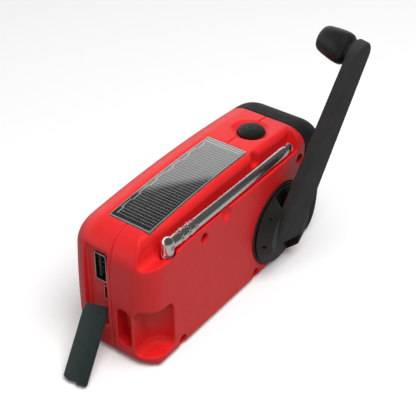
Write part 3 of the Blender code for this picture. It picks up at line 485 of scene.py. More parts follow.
RED = moulded_plastic("red_abs", (0.82, 0.018, 0.020), (0.78, 0.014, 0.016), 0.40, 0.35, 0.006)
BLACK = moulded_plastic(
    "black_abs", (0.030, 0.030, 0.031), (0.038, 0.038, 0.039), 0.48, 0.28, 0.012, edge_light=0.35
)
HUB_BLACK = moulded_plastic(
    "hub_black", (0.012, 0.011, 0.010), (0.018, 0.017, 0.016), 0.42, 0.3, 0.01, edge_light=0.35
)
HEAD_BLACK = moulded_plastic("head_abs", grey(0.018), grey(0.024), 0.52, 0.5, 0.006, shine=0.08)
ARM_BLACK = moulded_plastic(
    "arm_abs", (0.040, 0.040, 0.039), (0.050, 0.050, 0.049), 0.52, 0.4, 0.008, shine=0.06
)
KNOB_BLACK = moulded_plastic("grip_abs", grey(0.014), grey(0.020), 0.42, 0.5, 0.008, shine=0.3)
SOCKET_DARK = moulded_plastic("socket_black", grey(0.010), grey(0.014), 0.5, 0.5, 0.01)
PRINT_BLACK = moulded_plastic("print_black", grey(0.02), grey(0.03), 0.5, 0.5, 0.002)
DIAL_WHITE = moulded_plastic("dial_white", (0.72, 0.72, 0.68), (0.68, 0.68, 0.64), 0.5, 0.5, 0.004)
NYLON = moulded_plastic("white_nylon", (0.72, 0.72, 0.68), (0.66, 0.66, 0.61), 0.45, 0.5, 0.01)
BOARD = moulded_plastic("green_board", (0.015, 0.13, 0.05), (0.02, 0.17, 0.07), 0.35, 0.6, 0.02)
WRAP = moulded_plastic("cell_wrap", (0.05, 0.12, 0.42), (0.07, 0.15, 0.48), 0.3, 1.2, 0.02)
FERRITE = moulded_plastic("ferrite", (0.03, 0.03, 0.032), (0.05, 0.05, 0.052), 0.75, 0.4, 0.03)
PHOSPHOR = moulded_plastic("led_phosphor", (0.85, 0.62, 0.05), (0.80, 0.55, 0.04), 0.5, 0.3, 0.01)
RUBBER = rubber("cover_rubber", (0.012, 0.022, 0.022), (0.018, 0.029, 0.029))
KEY_RUBBER = rubber("button_rubber", (0.004, 0.006, 0.004), (0.007, 0.009, 0.007))
KEY_SIGN = rubber("sign_rubber", (0.022, 0.028, 0.024), (0.03, 0.036, 0.032))
CHROME = polished_metal("antenna_chrome", (0.92, 0.91, 0.90), 0.20, (0.05, 2.0, 2.0), 0.004)
STEEL = polished_metal("plain_steel", (0.56, 0.56, 0.55), 0.28, (1.0, 6.0, 1.0), 0.01)
COPPER = polished_metal("copper_wire", (0.72, 0.31, 0.16), 0.25, (1.0, 8.0, 1.0), 0.05)
GILT = polished_metal("gilt_contact", (0.83, 0.62, 0.28), 0.22, (0.4, 2.0, 2.0), 0.005)
REFLECTOR = polished_metal("reflector_chrome", grey(0.88), 0.06, grey(0.5), 0.004)
CLEAR = clear_plastic("clear_polycarbonate", (0.97, 0.98, 0.98), 0.02)
LED_RESIN = clear_plastic("led_resin", (0.96, 0.97, 1.0), 0.05)
CHARGE_RED = clear_plastic("red_led_resin", (0.85, 0.05, 0.04), 0.08)
CELL = solar_cells("solar_cell")


# ---- body form ----------------------------------------------------------------------------
def roof(x, drop=0.0):
    """Height of the roof above x, less a drop measured square to it."""
    radius = ROOF_RADIUS - drop
    return HEIGHT - ROOF_RADIUS + math.sqrt(radius * radius - x * x)


def circles_meet(c1, r1, c2, r2, side):
    """One crossing of two circles; side picks which."""
    d = math.dist(c1, c2)
    a = (r1 * r1 - r2 * r2 + d * d) / (2 * d)
    h = math.sqrt(max(r1 * r1 - a * a, 0.0))
    ux, uz = (c2[0] - c1[0]) / d, (c2[1] - c1[1]) / d
    return (c1[0] + a * ux - side * h * uz, c1[1] + a * uz + side * h * ux)


def bearing(centre, point):
    return math.degrees(math.atan2(point[1] - centre[1], point[0] - centre[0])) % 360


def body_outline(shrink):
    """The body seen from the front, as (x, z, nx, nz), anticlockwise from the low port corner."""
    port, port_r = (PORT_END_X - END_RADIUS, END_MID_Z), END_RADIUS - shrink
    head, head_r = (HEAD_END_X + HEAD_RADIUS, HEAD_MID_Z), HEAD_RADIUS - shrink
    top, top_r = (0.0, HEIGHT - ROOF_RADIUS), ROOF_RADIUS - shrink
    r1, r2, r3, r4 = [r - shrink for r in CORNER_RADII]

    def floor_corner(end, end_r, radius, sign):
        level = shrink + radius
        return (end[0] + sign * math.sqrt((end_r - radius) ** 2 - (level - end[1]) ** 2), level)

    c1 = floor_corner(port, port_r, r1, 1)
    c2 = circles_meet(port, port_r - r2, top, top_r - r2, -1)
    if c2[1] < END_MID_Z:
        c2 = circles_meet(port, port_r - r2, top, top_r - r2, 1)
    c3 = circles_meet(head, head_r - r3, top, top_r - r3, 1)
    if c3[1] < HEAD_MID_Z:
        c3 = circles_meet(head, head_r - r3, top, top_r - r3, -1)
    c4 = floor_corner(head, head_r, r4, -1)
    stretches = (
        (c1, r1, 270, bearing(port, c1), 4),
        (port, port_r, bearing(port, c1), bearing(port, c2), 4),
        (c2, r2, bearing(port, c2), bearing(top, c2), 5),
        (top, top_r, bearing(top, c2), bearing(top, c3), 8),
        (c3, r3, bearing(top, c3), bearing(head, c3), 5),
        (head, head_r, bearing(head, c3), bearing(head, c4), 4),
        (c4, r4, bearing(head, c4), 270, 5),
    )
    points = []
    for centre, radius, start, end, steps in stretches:
        sweep = (end - start + 180) % 360 - 180
        for i in range(steps * FINE):
            turn = math.radians(start + sweep * i / (steps * FINE))
            nx, nz = math.cos(turn), math.sin(turn)
            points.append((centre[0] + radius * nx, centre[1] + radius * nz, nx, nz))
    points.append((c4[0], shrink, 0.0, -1.0))
    return points


def body_ring(outline, y, share, edge, shrink):
    """The outline at depth y, pulled in by a share of the edge rounding's reach."""
    reach_x, reach_up, reach_down = [max(r - shrink, 0.5) * share for r in edge[1:]]
    return [
        (x - reach_x * nx, y, z - (reach_up if nz > 0 else reach_down) * nz)
        for x, z, nx, nz in outline
    ]


def body_form(name, low, high, look=None, shrink=0.0, rear_shrink=None):
    """The body's solid form from low to high along Y; an end at the front or rear face is rounded."""
    outline = body_outline(shrink)
    front = FRONT_Y + shrink
    rear = REAR_Y - (shrink if rear_shrink is None else rear_shrink)
    turns = [math.radians(90 * i / 12) for i in range(13)]
    rings = []
    if low <= FRONT_Y:
        depth = FRONT_EDGE[0] - shrink
        for t in turns:
            y = front + depth * (1 - math.cos(t))
            rings.append(body_ring(outline, y, 1 - math.sin(t), FRONT_EDGE, shrink))
    else:
        rings.append(body_ring(outline, low, 0.0, FRONT_EDGE, shrink))
    if high >= REAR_Y:
        depth = REAR_EDGE[0] - shrink
        for t in reversed(turns):
            y = rear - depth * (1 - math.cos(t))
            rings.append(body_ring(outline, y, 1 - math.sin(t), REAR_EDGE, shrink))
    else:
        rings.append(body_ring(outline, high, 0.0, REAR_EDGE, shrink))
    return skin(name, rings, look)


def x_side(name, low, high):
    """A large block that covers the body between two places along X."""
    return block(name, (low, -40, -20), (high, 40, 80))


# ---- cutters in the case ------------------------------------------------------------------
ANTENNA_PIVOT = joint_place("antenna_lift")[0]
ANTENNA_TIP_X = box_mm("antenna_tip")[0].x


def crest(x):
    """Height of the body's top outline above x, with the rounded corners."""
    upper = sorted((px, pz) for px, pz, _, nz in body_outline(0.0) if nz > 0)
    for (x0, z0), (x1, z1) in zip(upper, upper[1:]):
        if x0 <= x <= x1:
            return z0 + (z1 - z0) * (x - x0) / (x1 - x0)
    return upper[-1][1] if x > 0 else upper[0][1]


def groove_section(x, foot, floor, lean, soft, slope):
    """Across the antenna's groove: a floor, a rounded corner, a leaning wall and a soft top edge."""
    top = max(crest(x), floor + 6.5) + 0.1
    corner = foot + CHANNEL_RADIUS, floor + CHANNEL_RADIUS
    points = [(30.0, floor + 0.7), (ANTENNA_PIVOT.y + 2.3, floor + 1.2)]
    points += arc(corner, CHANNEL_RADIUS, -65, -180, 14)
    wall_top = foot - lean * (top - soft - corner[1])
    points += [(y - soft, z - soft) for y, z in arc((wall_top, top), soft, 0, 90, 10)]
    points += [(wall_top - soft - 1.0, top + 8.0), (30.0, top + 8.0)]
    return [(x + slope * (z - floor), y, z) for y, z in points]


def channel_cutter():
    """The groove for the antenna along the rear top edge; it runs out past the port-end corner."""
    px, py, pz = ANTENNA_PIVOT
    foot, floor = py - CHANNEL_RADIUS, pz - CHANNEL_RADIUS
    rings = [groove_section(ANTENNA_TIP_X - 0.7, foot, floor, 0.02, 3.0, -0.38)]
    for x in range(-30, 41, 10):
        rings.append(groove_section(x, foot, floor, 0.02, 3.0, 0.0))
    ends = ((-4.0, 0.4, 0.6, 0.05, 3.2), (1.5, 1.2, 1.8, 0.15, 3.6), (6.0, 1.6, 2.0, 0.45, 4.0))
    for step, inward, down, lean, soft in ends + ((16.0, 1.8, 2.4, 1.0, 4.0),):
        rings.append(groove_section(px + step, foot - inward, floor - down, lean, soft, 0.0))
    return skin("antenna_channel", rings, None)


def finger_notch(name, x, y, radius, low):
    """A small scoop beside the antenna, for a finger."""
    profile = [(radius - 1.2, low), (radius, low + 1.6), (radius, 66.0)]
    return turned(name, profile, None, "Z", (x, y, 0))


def notch_cutter():
    """The pocket in the lower rear corner that the folded crank's knob drops into."""
    r = NOTCH_RADIUS
    outline = arc((NOTCH_Y + r, NOTCH_X), r, 180, 270, 16)
    outline += [(30.0, NOTCH_X - r), (30.0, 75.0), (NOTCH_Y, 75.0)]
    low, high = NOTCH_Z
    levels = ((low, 2.5), (low + 0.9, 0.7), (low + 3.0, 0.0))
    levels += ((high - 4.5, 0.0), (high - 1.2, 1.4), (high, 3.6))
    rings = []
    for level, inset in levels:
        rings.append([(x + inset * 0.8, y + inset, level) for y, x in outline])
    return skin("knob_notch", rings, None)


def strap_pocket():
    """The narrow pocket in the end face beside the notch, with the strap's hole at its bottom."""
    outline = rounded_rectangle(*POCKET_Y, *POCKET_Z, 3.0)
    pocket = prism("strap_pocket", outline, "X", POCKET_FLOOR_X, 80.0)
    y, z = STRAP_HOLE
    hole = rod("strap_hole", 1.6, POCKET_FLOOR_X - 1.6, POCKET_FLOOR_X + 1.0, None, "X", (0, y, z))
    return pocket, hole


def panel_form(name, grow, thickness, proud, look=None):
    """A slab that follows the roof: the solar panel, or its seat when it grows."""
    x0, x1 = panel_low.x - grow, panel_high.x + grow
    steps = 24
    xs = [x0 + (x1 - x0) * i / steps for i in range(steps + 1)]
    outline = [(roof(x) - thickness, x) for x in xs] + [(roof(x) + proud, x) for x in reversed(xs)]
    return prism(name, outline, "Y", panel_low.y - grow, panel_high.y + grow, look)


def button_cutter(name):
    """The button's bore, with the shallow dished ring around it."""
    level = roof(BUTTON_X)
    bore = BUTTON_RADIUS + 0.25
    profile = [(bore, 50.0), (bore, level - 1.1), (BUTTON_RING - 1.4, level - 0.95)]
    profile += [(BUTTON_RING, level + 0.25), (BUTTON_RING, level + 6.0)]
    return turned(name, profile, None, "Z", (BUTTON_X, BUTTON_Y, 0))


def case_cavity(name, low, high):
    """The room inside the red shells: the body's form, less the material round each pocket."""
    cavity = body_form(name, low, high, shrink=WALL, rear_shrink=REAR_WALL)
    px, py, pz = ANTENNA_PIVOT
    linings = (
        ((-BEYOND, -40, -20), (HEAD_X + 1.5, 40, 80)),
        ((-70, py - 7.4, pz - 7.2), (80, 40, 80)),
        ((px - 5, py - 6.2, 33.5), (80, 40, 60)),
        ((NOTCH_X - NOTCH_RADIUS - 1.8, NOTCH_Y - 1.8, -10), (80, 40, NOTCH_Z[1] + 1.8)),
        ((POCKET_FLOOR_X - 3.2, POCKET_Y[0] - 1.8, -10), (80, 40, POCKET_Z[1] + 1.8)),
        ((PORT_FLOOR_X - 1.8, PORT_Y[0] - 1.8, PORT_Z[0] - 2), (80, 1.7, 53)),
        ((-16, -11, 55.0), (54, 14, 80)),
    )
    return cut(cavity, *[block(f"{name}_{i}", *corners) for i, corners in enumerate(linings)])


def at_place(radius, low, high, place):
    """A round cutter along Y at (x, z)."""
    return rod("bore", radius, low, high, None, "Y", (place[0], 0, place[1]))


def make_rear_case():
    case = body_form("rear_shell", SEAM_Y + SEAM_GAP / 2, REAR_Y, RED)
    cutters = [x_side("side", -BEYOND, HEAD_X + SEAM_GAP / 2), case_cavity("rear_room", SEAM_Y - 3, REAR_Y)]
    px, py, _ = ANTENNA_PIVOT
    cutters += [channel_cutter(), rod("well", 3.0, 36.0, 56.0, None, "Z", (px, py, 0)), notch_cutter()]
    cutters += [*strap_pocket(), finger_notch("lip_scoop", 14.4, 22.4, 3.0, 46.4)]
    cutters += [finger_notch("roof_scoop", -14.5, 15.6, 2.6, 52.0)]
    cutters += [panel_form("seat", 0.15, 2.3, 6.0), button_cutter("button_bore")]
    crank_at = (CRANK_X, CRANK_Z)
    cutters += [at_place(BEZEL_RADIUS + 0.15, 20.0, 30.0, crank_at), at_place(4.0, 10.0, 30.0, crank_at)]
    for place in SCREW_PLACES:
        cutters += [at_place(2.2, 16.5, 40.0, place)]
    cut(case, *cutters)
    soften(case)
    return show(case, "case", "red_shell", "rear_case")


def make_front_case():
    case = body_form("front_shell", FRONT_Y, SEAM_Y - SEAM_GAP / 2, RED)
    cutters = [x_side("side", -BEYOND, HEAD_X + SEAM_GAP / 2)]
    cutters.append(case_cavity("front_room", FRONT_Y, SEAM_Y + 3))
    cutters += [panel_form("seat", 0.15, 2.3, 6.0), button_cutter("button_bore")]
    recess = rounded_rectangle(*PORT_Y, *PORT_Z, 1.6)
    cutters.append(prism("port_recess", recess, "X", PORT_FLOOR_X, 80))
    for y, z, size in ((USB_Y, USB_Z, USB_SIZE), (MICRO_Y, MICRO_Z, MICRO_SIZE)):
        opening = rounded_rectangle(*port_box(y, z, size, 0.1), 0.5)
        cutters.append(prism("opening", opening, "X", 40, 70))
    speaker_at = (SPEAKER.x, SPEAKER.z)
    cutters += [at_place(SPEAKER_RADIUS - 2.2, -30, -15, speaker_at)]
    cutters += [at_place(SPEAKER_RADIUS + 0.15, -30, FRONT_Y + 1.0, speaker_at)]
    x0, x1, z0, z1 = window_low.x, window_high.x, window_low.z, window_high.z
    seat = rounded_rectangle(z0 - 0.15, z1 + 0.15, x0 - 0.15, x1 + 0.15, 2.0)
    cutters.append(prism("dial_seat", seat, "Y", -30, FRONT_Y + 1.2))
    mouth = rounded_rectangle(z0 + 1.0, z1 - 1.0, x0 + 1.0, x1 - 1.0, 1.5)
    cutters.append(prism("dial_mouth", mouth, "Y", -30, -10))
    for name in ("tuning_knob", "volume_knob"):
        centre, radius = knob_place(name)
        cutters.append(at_place(radius + 0.5, -30, FRONT_Y + 1.1, centre))
        cutters.append(at_place(2.2, -30, -10, centre))
    x, z = SWITCH.x, SWITCH.z
    cutters.append(block("switch_slot", (x - 5, -30, z - 1.8), (x + 5, -10, z + 1.8)))
    cutters.append(at_place(1.5, -30, -10, (CHARGE_LAMP.x, CHARGE_LAMP.z)))
    cut(case, *cutters)
    soften(case)
    return show(case, "case", "red_shell", "front_case")


def make_lamp_head():
    head = body_form("head_shell", FRONT_Y, REAR_Y, HEAD_BLACK)
    room = body_form("head_room", FRONT_Y, REAR_Y, shrink=3.4)
    lens_low, lens_high = box_mm("lamp_lens")
    y0, y1, z0, z1 = lens_low.y, lens_high.y, lens_low.z, lens_high.z
    seat = rounded_rectangle(y0 - 0.2, y1 + 0.2, z0 - 0.2, z1 + 0.2, 3.0)
    mouth = rounded_rectangle(y0 + 0.8, y1 - 0.8, z0 + 0.8, z1 - 0.8, 2.4)
    cutters = [x_side("side", HEAD_X - SEAM_GAP / 2, BEYOND), room]
    cutters.append(prism("lens_seat", seat, "X", -BEYOND, lens_high.x + 0.3))
    cutters.append(prism("lens_mouth", mouth, "X", -BEYOND, -55))
    cut(head, *cutters)
    soften(head)
    return show(head, "case", "black_shell", "lamp_head")


# ---- flashlight ---------------------------------------------------------------------------
def make_flashlight():
    """A clear window with a raised rim, a bowl for each LED and domed LEDs with a yellow chip."""
    low, high = box_mm("lamp_lens")
    y0, y1, z0, z1 = low.y, high.y, low.z, high.z
    levels = ((0.5, low.x), (0.0, low.x + 0.5), (0.0, high.x))
    rings = []
    for inset, x in levels:
        outline = rounded_rectangle(y0 + inset, y1 - inset, z0 + inset, z1 - inset, 2.7 - inset)
        rings.append([(x, y, z) for y, z in outline])
    lens = skin("flashlight_window", rings, CLEAR, smooth_angle=50)
    show(lens, "case", "clear", "lamp_lens")

    low, high = box_mm("lamp_reflector")
    reflector = block("flashlight_reflector", low, high, REFLECTOR, bevel=0.5)
    bowl_neck, bowl_flare, bowl_floor, bowl_depth, bowl_steps = 2.0, 2.2, -54.5, 5.4, 12
    for i in range(3):
        led_low, led_high = box_mm(f"lamp_led_{i + 1}")
        centre = (0, (led_low.y + led_high.y) / 2, (led_low.z + led_high.z) / 2)
        bowl = [(bowl_neck, -50.0)]
        for step in range(bowl_steps + 1):
            share = step / bowl_steps
            depth = bowl_floor - bowl_depth * step / bowl_steps
            bowl.append((bowl_neck + bowl_flare * math.sqrt(share), depth))
        cut(reflector, turned(f"bowl_{i}", bowl, None, "X", centre, 48))
        radius = (led_high.z - led_low.z) / 2
        dome = [(radius, led_high.x), (radius, led_low.x + radius)]
        dome += [(a, led_low.x + radius - b) for a, b in arc((0, 0), radius, 8, 82, 8)]
        led = turned(f"led_dome_{i + 1}", dome, LED_RESIN, "X", centre, 32)
        show(led, "case", "led_resin", f"lamp_led_{i + 1}")
        x = led_high.x - 2.0
        corners = (x, -0.6, -0.6), (x + 0.4, 0.6, 0.6)
        chip = block(f"led_chip_{i + 1}", *corners, PHOSPHOR, 0.1, place=shift(centre))
        show(chip, "case", "led_resin")
    round_edges(reflector, 0.15)
    show(reflector, "case", "chrome", "lamp_reflector")


def shift(vector):
    return Matrix.Translation(vector)


# ---- crank --------------------------------------------------------------------------------
KNOB, KNOB_AXIS = joint_place("knob_spin")
FOLD_PIN = joint_place("arm_fold")[0]
CRANK_TURN = Matrix.Rotation(-math.atan2(KNOB.z - CRANK_Z, KNOB.x - CRANK_X), 4, "Y")
CRANK_FRAME = shift((CRANK_X, 0, CRANK_Z)) @ CRANK_TURN
ARM_FRAME = shift(FOLD_PIN) @ CRANK_TURN @ Matrix.Rotation(math.acos(KNOB_AXIS.y), 4, "Z")
KNOB_X = (ARM_FRAME.inverted() @ KNOB).x
HUB_Y = (22.2, 28.3)
HUB_RADII = (18.3, 15.0)
HUB_HOLES = 8
SLOT_FLOOR = 23.0
ARM_HALF_WIDTHS = (10.2, 6.4)
ARM_THICKNESS = 4.6
ARM_ROOT = -3.0
GRIP_LENGTH, GRIP_GAP = 14.6, 0.4  # the gap is to the arm


def make_bezel():
    """The fixed ring on the case that the hub turns in."""
    low, high = box_mm("crank_bezel")
    face, edge = high.y, 0.5
    profile = [(BEZEL_RADIUS, low.y), (BEZEL_RADIUS, face - edge)]
    profile += [(BEZEL_RADIUS - edge + a, face - edge + b) for a, b in arc((0, 0), edge, 0, 90, 4)]
    profile += [(5.6, face), (5.3, face - 0.3), (5.3, low.y)]
    ring = turned("bezel_ring", profile, HUB_BLACK, "Y", (CRANK_X, 0, CRANK_Z), 128, closed=True)
    show(ring, "case", "black_shell", "crank_bezel")


def make_hub():
    """A low cone with a slot for the arm, and a ring of small round recesses on its slope."""
    low, high = HUB_Y
    wide, narrow = HUB_RADII
    profile = [(5.0, 20.4), (5.0, low), (wide - 0.5, low)]
    profile += [(wide - 0.5 + a, low + 0.5 + b) for a, b in arc((0, 0), 0.5, -60, 30, 4)]
    profile += [(narrow - 0.8 + a, high - 0.8 + b) for a, b in arc((0, 0), 0.8, 25, 90, 5)]
    hub = turned("hub_cone", profile, HUB_BLACK, "Y", segments=128, place=CRANK_FRAME)
    half = ARM_HALF_WIDTHS[0] + 0.35
    cutters = [block("arm_slot", (-30, SLOT_FLOOR, -half), (30, 40, half), place=CRANK_FRAME)]
    slope = math.atan2(wide - narrow, high - low)
    middle = (wide + narrow) / 2
    for i in range(HUB_HOLES):
        turn = Matrix.Rotation(2 * math.pi * (i + 0.5) / HUB_HOLES, 4, "Y")
        tilt = shift((middle, (low + high) / 2 + 0.4, 0)) @ Matrix.Rotation(slope, 4, "Z")
        frame_here = CRANK_FRAME @ turn @ tilt
        cutters.append(rod("recess", 1.0, -1.1, 3.0, None, "X", segments=24, place=frame_here))
    cut(hub, *cutters)
    round_edges(hub, 0.35)
    show(hub, "crank", "black_shell", "crank_hub")
    pin = rod("hinge_pin", 1.1, -13.4, 13.4, STEEL, "Z", segments=32, place=shift(FOLD_PIN) @ CRANK_TURN)
    show(pin, "crank", "steel", "arm_hinge_pin")


def arm_outline(inset):
    """The arm seen from outside: a square-cut root that tapers to a round end at the knob."""
    wide, narrow = ARM_HALF_WIDTHS
    slope = math.degrees(math.atan2(wide - narrow, KNOB_X - ARM_ROOT))
    corner = 1.6
    centre = ARM_ROOT + inset + corner
    side = wide - inset - corner
    points = arc((KNOB_X, 0), narrow - inset, -90 + slope, 90 - slope, 40)
    points += arc((centre, side), corner, 90 - slope, 180, 8)
    points += arc((centre, -side), corner, 180, 270 + slope, 8)
    return points


def make_arm():
    """The tapered arm, its long edges well rounded."""
    half, soft = ARM_THICKNESS / 2, 0.9
    levels = [(-half + soft - soft * math.sin(t), soft - soft * math.cos(t)) for t in steps_of_turn(5)]
    levels = levels[::-1] + [(-y, inset) for y, inset in levels]
    rings = [[(x, y, z) for x, z in arm_outline(inset)] for y, inset in levels]
    arm = skin("crank_arm_bar", rings, ARM_BLACK, smooth_angle=60, place=ARM_FRAME)
    show(arm, "arm", "black_shell", "crank_arm")


def steps_of_turn(steps):
    """Angles from nought to a quarter turn."""
    return [math.pi / 2 * i / steps for i in range(steps + 1)]


def make_knob():
    """The grip: a barrel with a collar next to the arm and a dished end."""
    top = -ARM_THICKNESS / 2 - GRIP_GAP
    low = top - GRIP_LENGTH
    profile = [(4.2, top), (4.4, top - 1.2), (5.9, top - 1.7), (6.6, top - 2.8), (6.8, top - 4.2)]
    profile += [(6.75, top - 6.0), (6.5, top - 8.0), (6.1, top - 10.4), (5.7, low + 2.2)]
    profile += [(5.35, low + 1.1), (4.8, low + 0.35), (4.2, low), (3.2, low), (2.9, low + 0.3)]
    profile += [(2.9, low + 1.8), (1.7, low + 1.8), (1.7, top)]
    at_knob = ARM_FRAME @ shift((KNOB_X, 0, 0))
    options = {"closed": True, "smooth_angle": 50, "place": at_knob}
    knob = turned("grip", profile, KNOB_BLACK, "Y", segments=96, **options)
    show(knob, "knob", "black_shell", "crank_knob")
    pin = [(2.2, low + 0.4), (2.6, low + 0.8), (2.6, low + 1.5), (1.3, low + 1.5), (1.3, 1.0)]
    pin = turned("grip_pin", pin, STEEL, "Y", segments=48, place=at_knob)
    show(pin, "arm", "steel", "knob_pin")


# ---- antenna ------------------------------------------------------------------------------
TUBE_RADII = ((2.55, 2.3), (2.15, 1.9), (1.75, 1.5), (1.35, 0.0))
TUBE_END = -79.0
TIP_RADIUS = 2.0
SLEEVE_START, SLEEVE_END, SLEEVE_PROUD = -3.4, -17.0, 0.16


def make_antenna():
    """Post, forked knuckle, knurled sleeve, four telescoping tubes and a ball tip."""
    px, py, pz = ANTENNA_PIVOT
    profile = [(2.7, 37.0), (2.7, pz - 3.9), (2.45, pz - 3.3), (2.3, pz - 3.2)]
    post = turned("antenna_post", profile, CHROME, "Z", (px, py, 0), 64)
    tongue = arc((pz, py), 2.2, -90, 90, 20) + [(pz - 5.0, py + 2.2), (pz - 5.0, py - 2.2)]
    tongue = prism("tongue", [(y, z) for z, y in tongue], "X", px - 2.2, px + 2.2)
    keep = block("tongue_plate", (px - 4, py - 0.7, pz - 6), (px + 4, py + 0.7, pz + 4))
    boolean(tongue, [keep], "INTERSECT")
    join(post, tongue)
    show(post, "case", "chrome", "antenna_base")

    at_pivot = shift(ANTENNA_PIVOT)
    elbow = [(2.55, -3.0), (2.65, -2.8), (2.65, 1.2)]
    elbow += [(a, 1.2 + b) for a, b in arc((0, 0), 2.65, 12, 80, 8)]
    fork = turned("antenna_knuckle", elbow, CHROME, "Z", segments=64, place=at_pivot)
    neck = [(2.5, -8.4), (2.5, -1.0), (1.6, 0.6)]
    join(fork, turned("neck", neck, None, "X", segments=64, place=at_pivot))
    cut(fork, block("gap", (-2.9, -0.9, -6), (6, 0.9, 0.6), place=at_pivot))
    round_edges(fork, 0.12)
    show(fork, "antenna", "chrome", "antenna_fork")
    rivet = [(0.6, -2.5), (0.6, 2.2), (1.1, 2.4), (1.1, 2.65), (0.7, 2.85)]
    rivet = turned("antenna_rivet", rivet, STEEL, "Y", segments=32, place=at_pivot)
    show(rivet, "antenna", "steel", "antenna_pin")

    outer, inner = TUBE_RADII[0]
    tube = [(outer, -8.6), (outer, TUBE_END + 1.2), (outer - 0.12, TUBE_END + 0.5), (inner, TUBE_END)]
    tube += [(inner - 0.05, TUBE_END + 0.2), (inner - 0.05, -8.6)]
    tube = turned("tube_outer", tube, CHROME, "X", segments=64, closed=True, place=at_pivot)
    show(tube, "antenna", "chrome", "antenna_tube_1")
    ends = SLEEVE_START, SLEEVE_END
    sleeve = knurled_sleeve("sleeve_knurled", outer + SLEEVE_PROUD, *ends, at_pivot)
    show(sleeve, "antenna", "chrome")
    bodies = ("antenna_second", "antenna_third")
    for i, (outer, inner) in enumerate(TUBE_RADII[1:3]):
        low, high = TUBE_END - 1.0 - i, -9.0 - 2 * i
        tube = [(outer, high), (outer, low + 0.3), (outer - 0.3, low), (inner, low), (inner, high)]
        tube = turned(f"tube_inner_{i + 1}", tube, CHROME, "X", segments=64, closed=True, place=at_pivot)
        show(tube, bodies[i], "chrome", f"antenna_tube_{i + 2}")
    radius = TUBE_RADII[3][0]
    thin = rod("tube_last", radius, TUBE_END - 1.5, -14.0, CHROME, "X", segments=64, place=at_pivot)
    show(thin, "antenna_fourth", "chrome", "antenna_tube_4")
    ball_x = ANTENNA_TIP_X - px + TIP_RADIUS
    ball = [(1.2, TUBE_END - 1.8)]
    ball += [(r, ball_x + x) for x, r in arc((0, 0), TIP_RADIUS, 38, 172, 20)]
    ball = turned("ball_tip", ball, CHROME, "X", segments=64, place=at_pivot)
    show(ball, "antenna_fourth", "chrome", "antenna_tip")


def knurled_sleeve(name, radius, start, end, place):
    """A gripping sleeve with a pressed diamond pattern that fades at both ends."""
    around, depth, diamonds, pitch = 96, 0.16, 7, 4.4
    rows = round(abs(end - start) / 0.22)
    rings = []
    for row in range(rows + 1):
        share = row / rows
        x = start + (end - start) * share
        fade = min(1.0, 6 * share, 6 * (1 - share))
        ring = []
        for i in range(around):
            turn = 2 * math.pi * i / around
            twist = 2 * math.pi * x / pitch
            waves = max(math.cos(diamonds * turn + twist), math.cos(diamonds * turn - twist))
            reach = radius - 0.2 * (1 - fade) - depth * fade * max(0.0, waves) ** 3
            ring.append((x, reach * math.cos(turn), reach * math.sin(turn)))
        rings.append(ring)
    return skin(name, rings, CHROME, smooth_angle=70, place=place)


# ---- roof: solar panel and lamp button ----------------------------------------------------
def make_solar_panel():
    panel = panel_form("solar_cell", 0.0, 2.0, 0.25, CELL)
    round_edges(panel, 0.18, 2)
    show(panel, "case", "solar", "solar_panel")


SIGN_RADIUS = 1.75


def button_height(distance):
    """Height of the button's dome above its rim plane at a distance from its middle."""
    crown, rim = 1.0, BUTTON_RADIUS
    return crown * (1 - (distance / rim) ** 2.4)


def make_button():
    """A soft dome with an embossed lamp sign: a ring and three rays."""
    level = roof(BUTTON_X)
    edge, steps = 0.7, 14
    profile = [(7.0, 54.2), (7.0, 55.2), (BUTTON_RADIUS, 55.2), (BUTTON_RADIUS, level - 0.6)]
    reach = BUTTON_RADIUS - edge
    profile += [(reach + a, level - 0.5 + b) for a, b in arc((0, 0), edge, 0, 60, 4)]
    top = level - 0.05
    distances = [reach * (1 - i / steps) for i in range(1, steps)]
    profile += [(distance, top + button_height(distance)) for distance in distances]
    button = turned("button_dome", profile, KEY_RUBBER, "Z", (BUTTON_X, BUTTON_Y, 0), 96, smooth_angle=60)
    show(button, "button", "rubber", "lamp_button")

    sign = bmesh.new()
    turns = arc_turns(-130, 130, 32)
    ring = [Vector((SIGN_RADIUS * math.cos(t), SIGN_RADIUS * math.sin(t), 0)) for t in turns]
    raise_stroke(sign, ring, 0.24, top)
    for angle in (-28, 0, 28):
        turn = math.radians(180 + angle)
        ray = [Vector((r * math.cos(turn), r * math.sin(turn), 0)) for r in (2.3, 2.8, 3.4)]
        raise_stroke(sign, ray, 0.2, top)
    sign = finish_mesh("lamp_sign", sign, KEY_SIGN, place=shift((BUTTON_X, BUTTON_Y, 0)))
    show(sign, "button", "rubber")


def arc_turns(start, end, steps):
    return [math.radians(start + (end - start) * i / steps) for i in range(steps + 1)]


def raise_stroke(bm, path, half_width, level):
    """Adds a narrow raised bar along a path on the dome."""
    rows = []
    for i, point in enumerate(path):
        ahead = path[min(i + 1, len(path) - 1)] - path[max(i - 1, 0)]
        side = Vector((-ahead.y, ahead.x, 0)).normalized() * half_width
        row = []
        for offset, lift in ((side, -0.1), (side * 0.8, 0.14), (-side * 0.8, 0.14), (-side, -0.1)):
            place = point + offset
            place.z = level + button_height(place.length) + lift
            row.append(bm.verts.new(place))
        rows.append(row)
    for one, two in zip(rows, rows[1:]):
        for i in range(4):
            k = (i + 1) % 4
            bm.faces.new((one[i], one[k], two[k], two[i]))
    bm.faces.new(rows[0])
    bm.faces.new(rows[-1][::-1])


# ---- charging ports and their cover -------------------------------------------------------
def port_box(y, z, size, grow):
    width, height = size
    return (y - width / 2 - grow, y + width / 2 + grow, z - height / 2 - grow, z + height / 2 + grow)


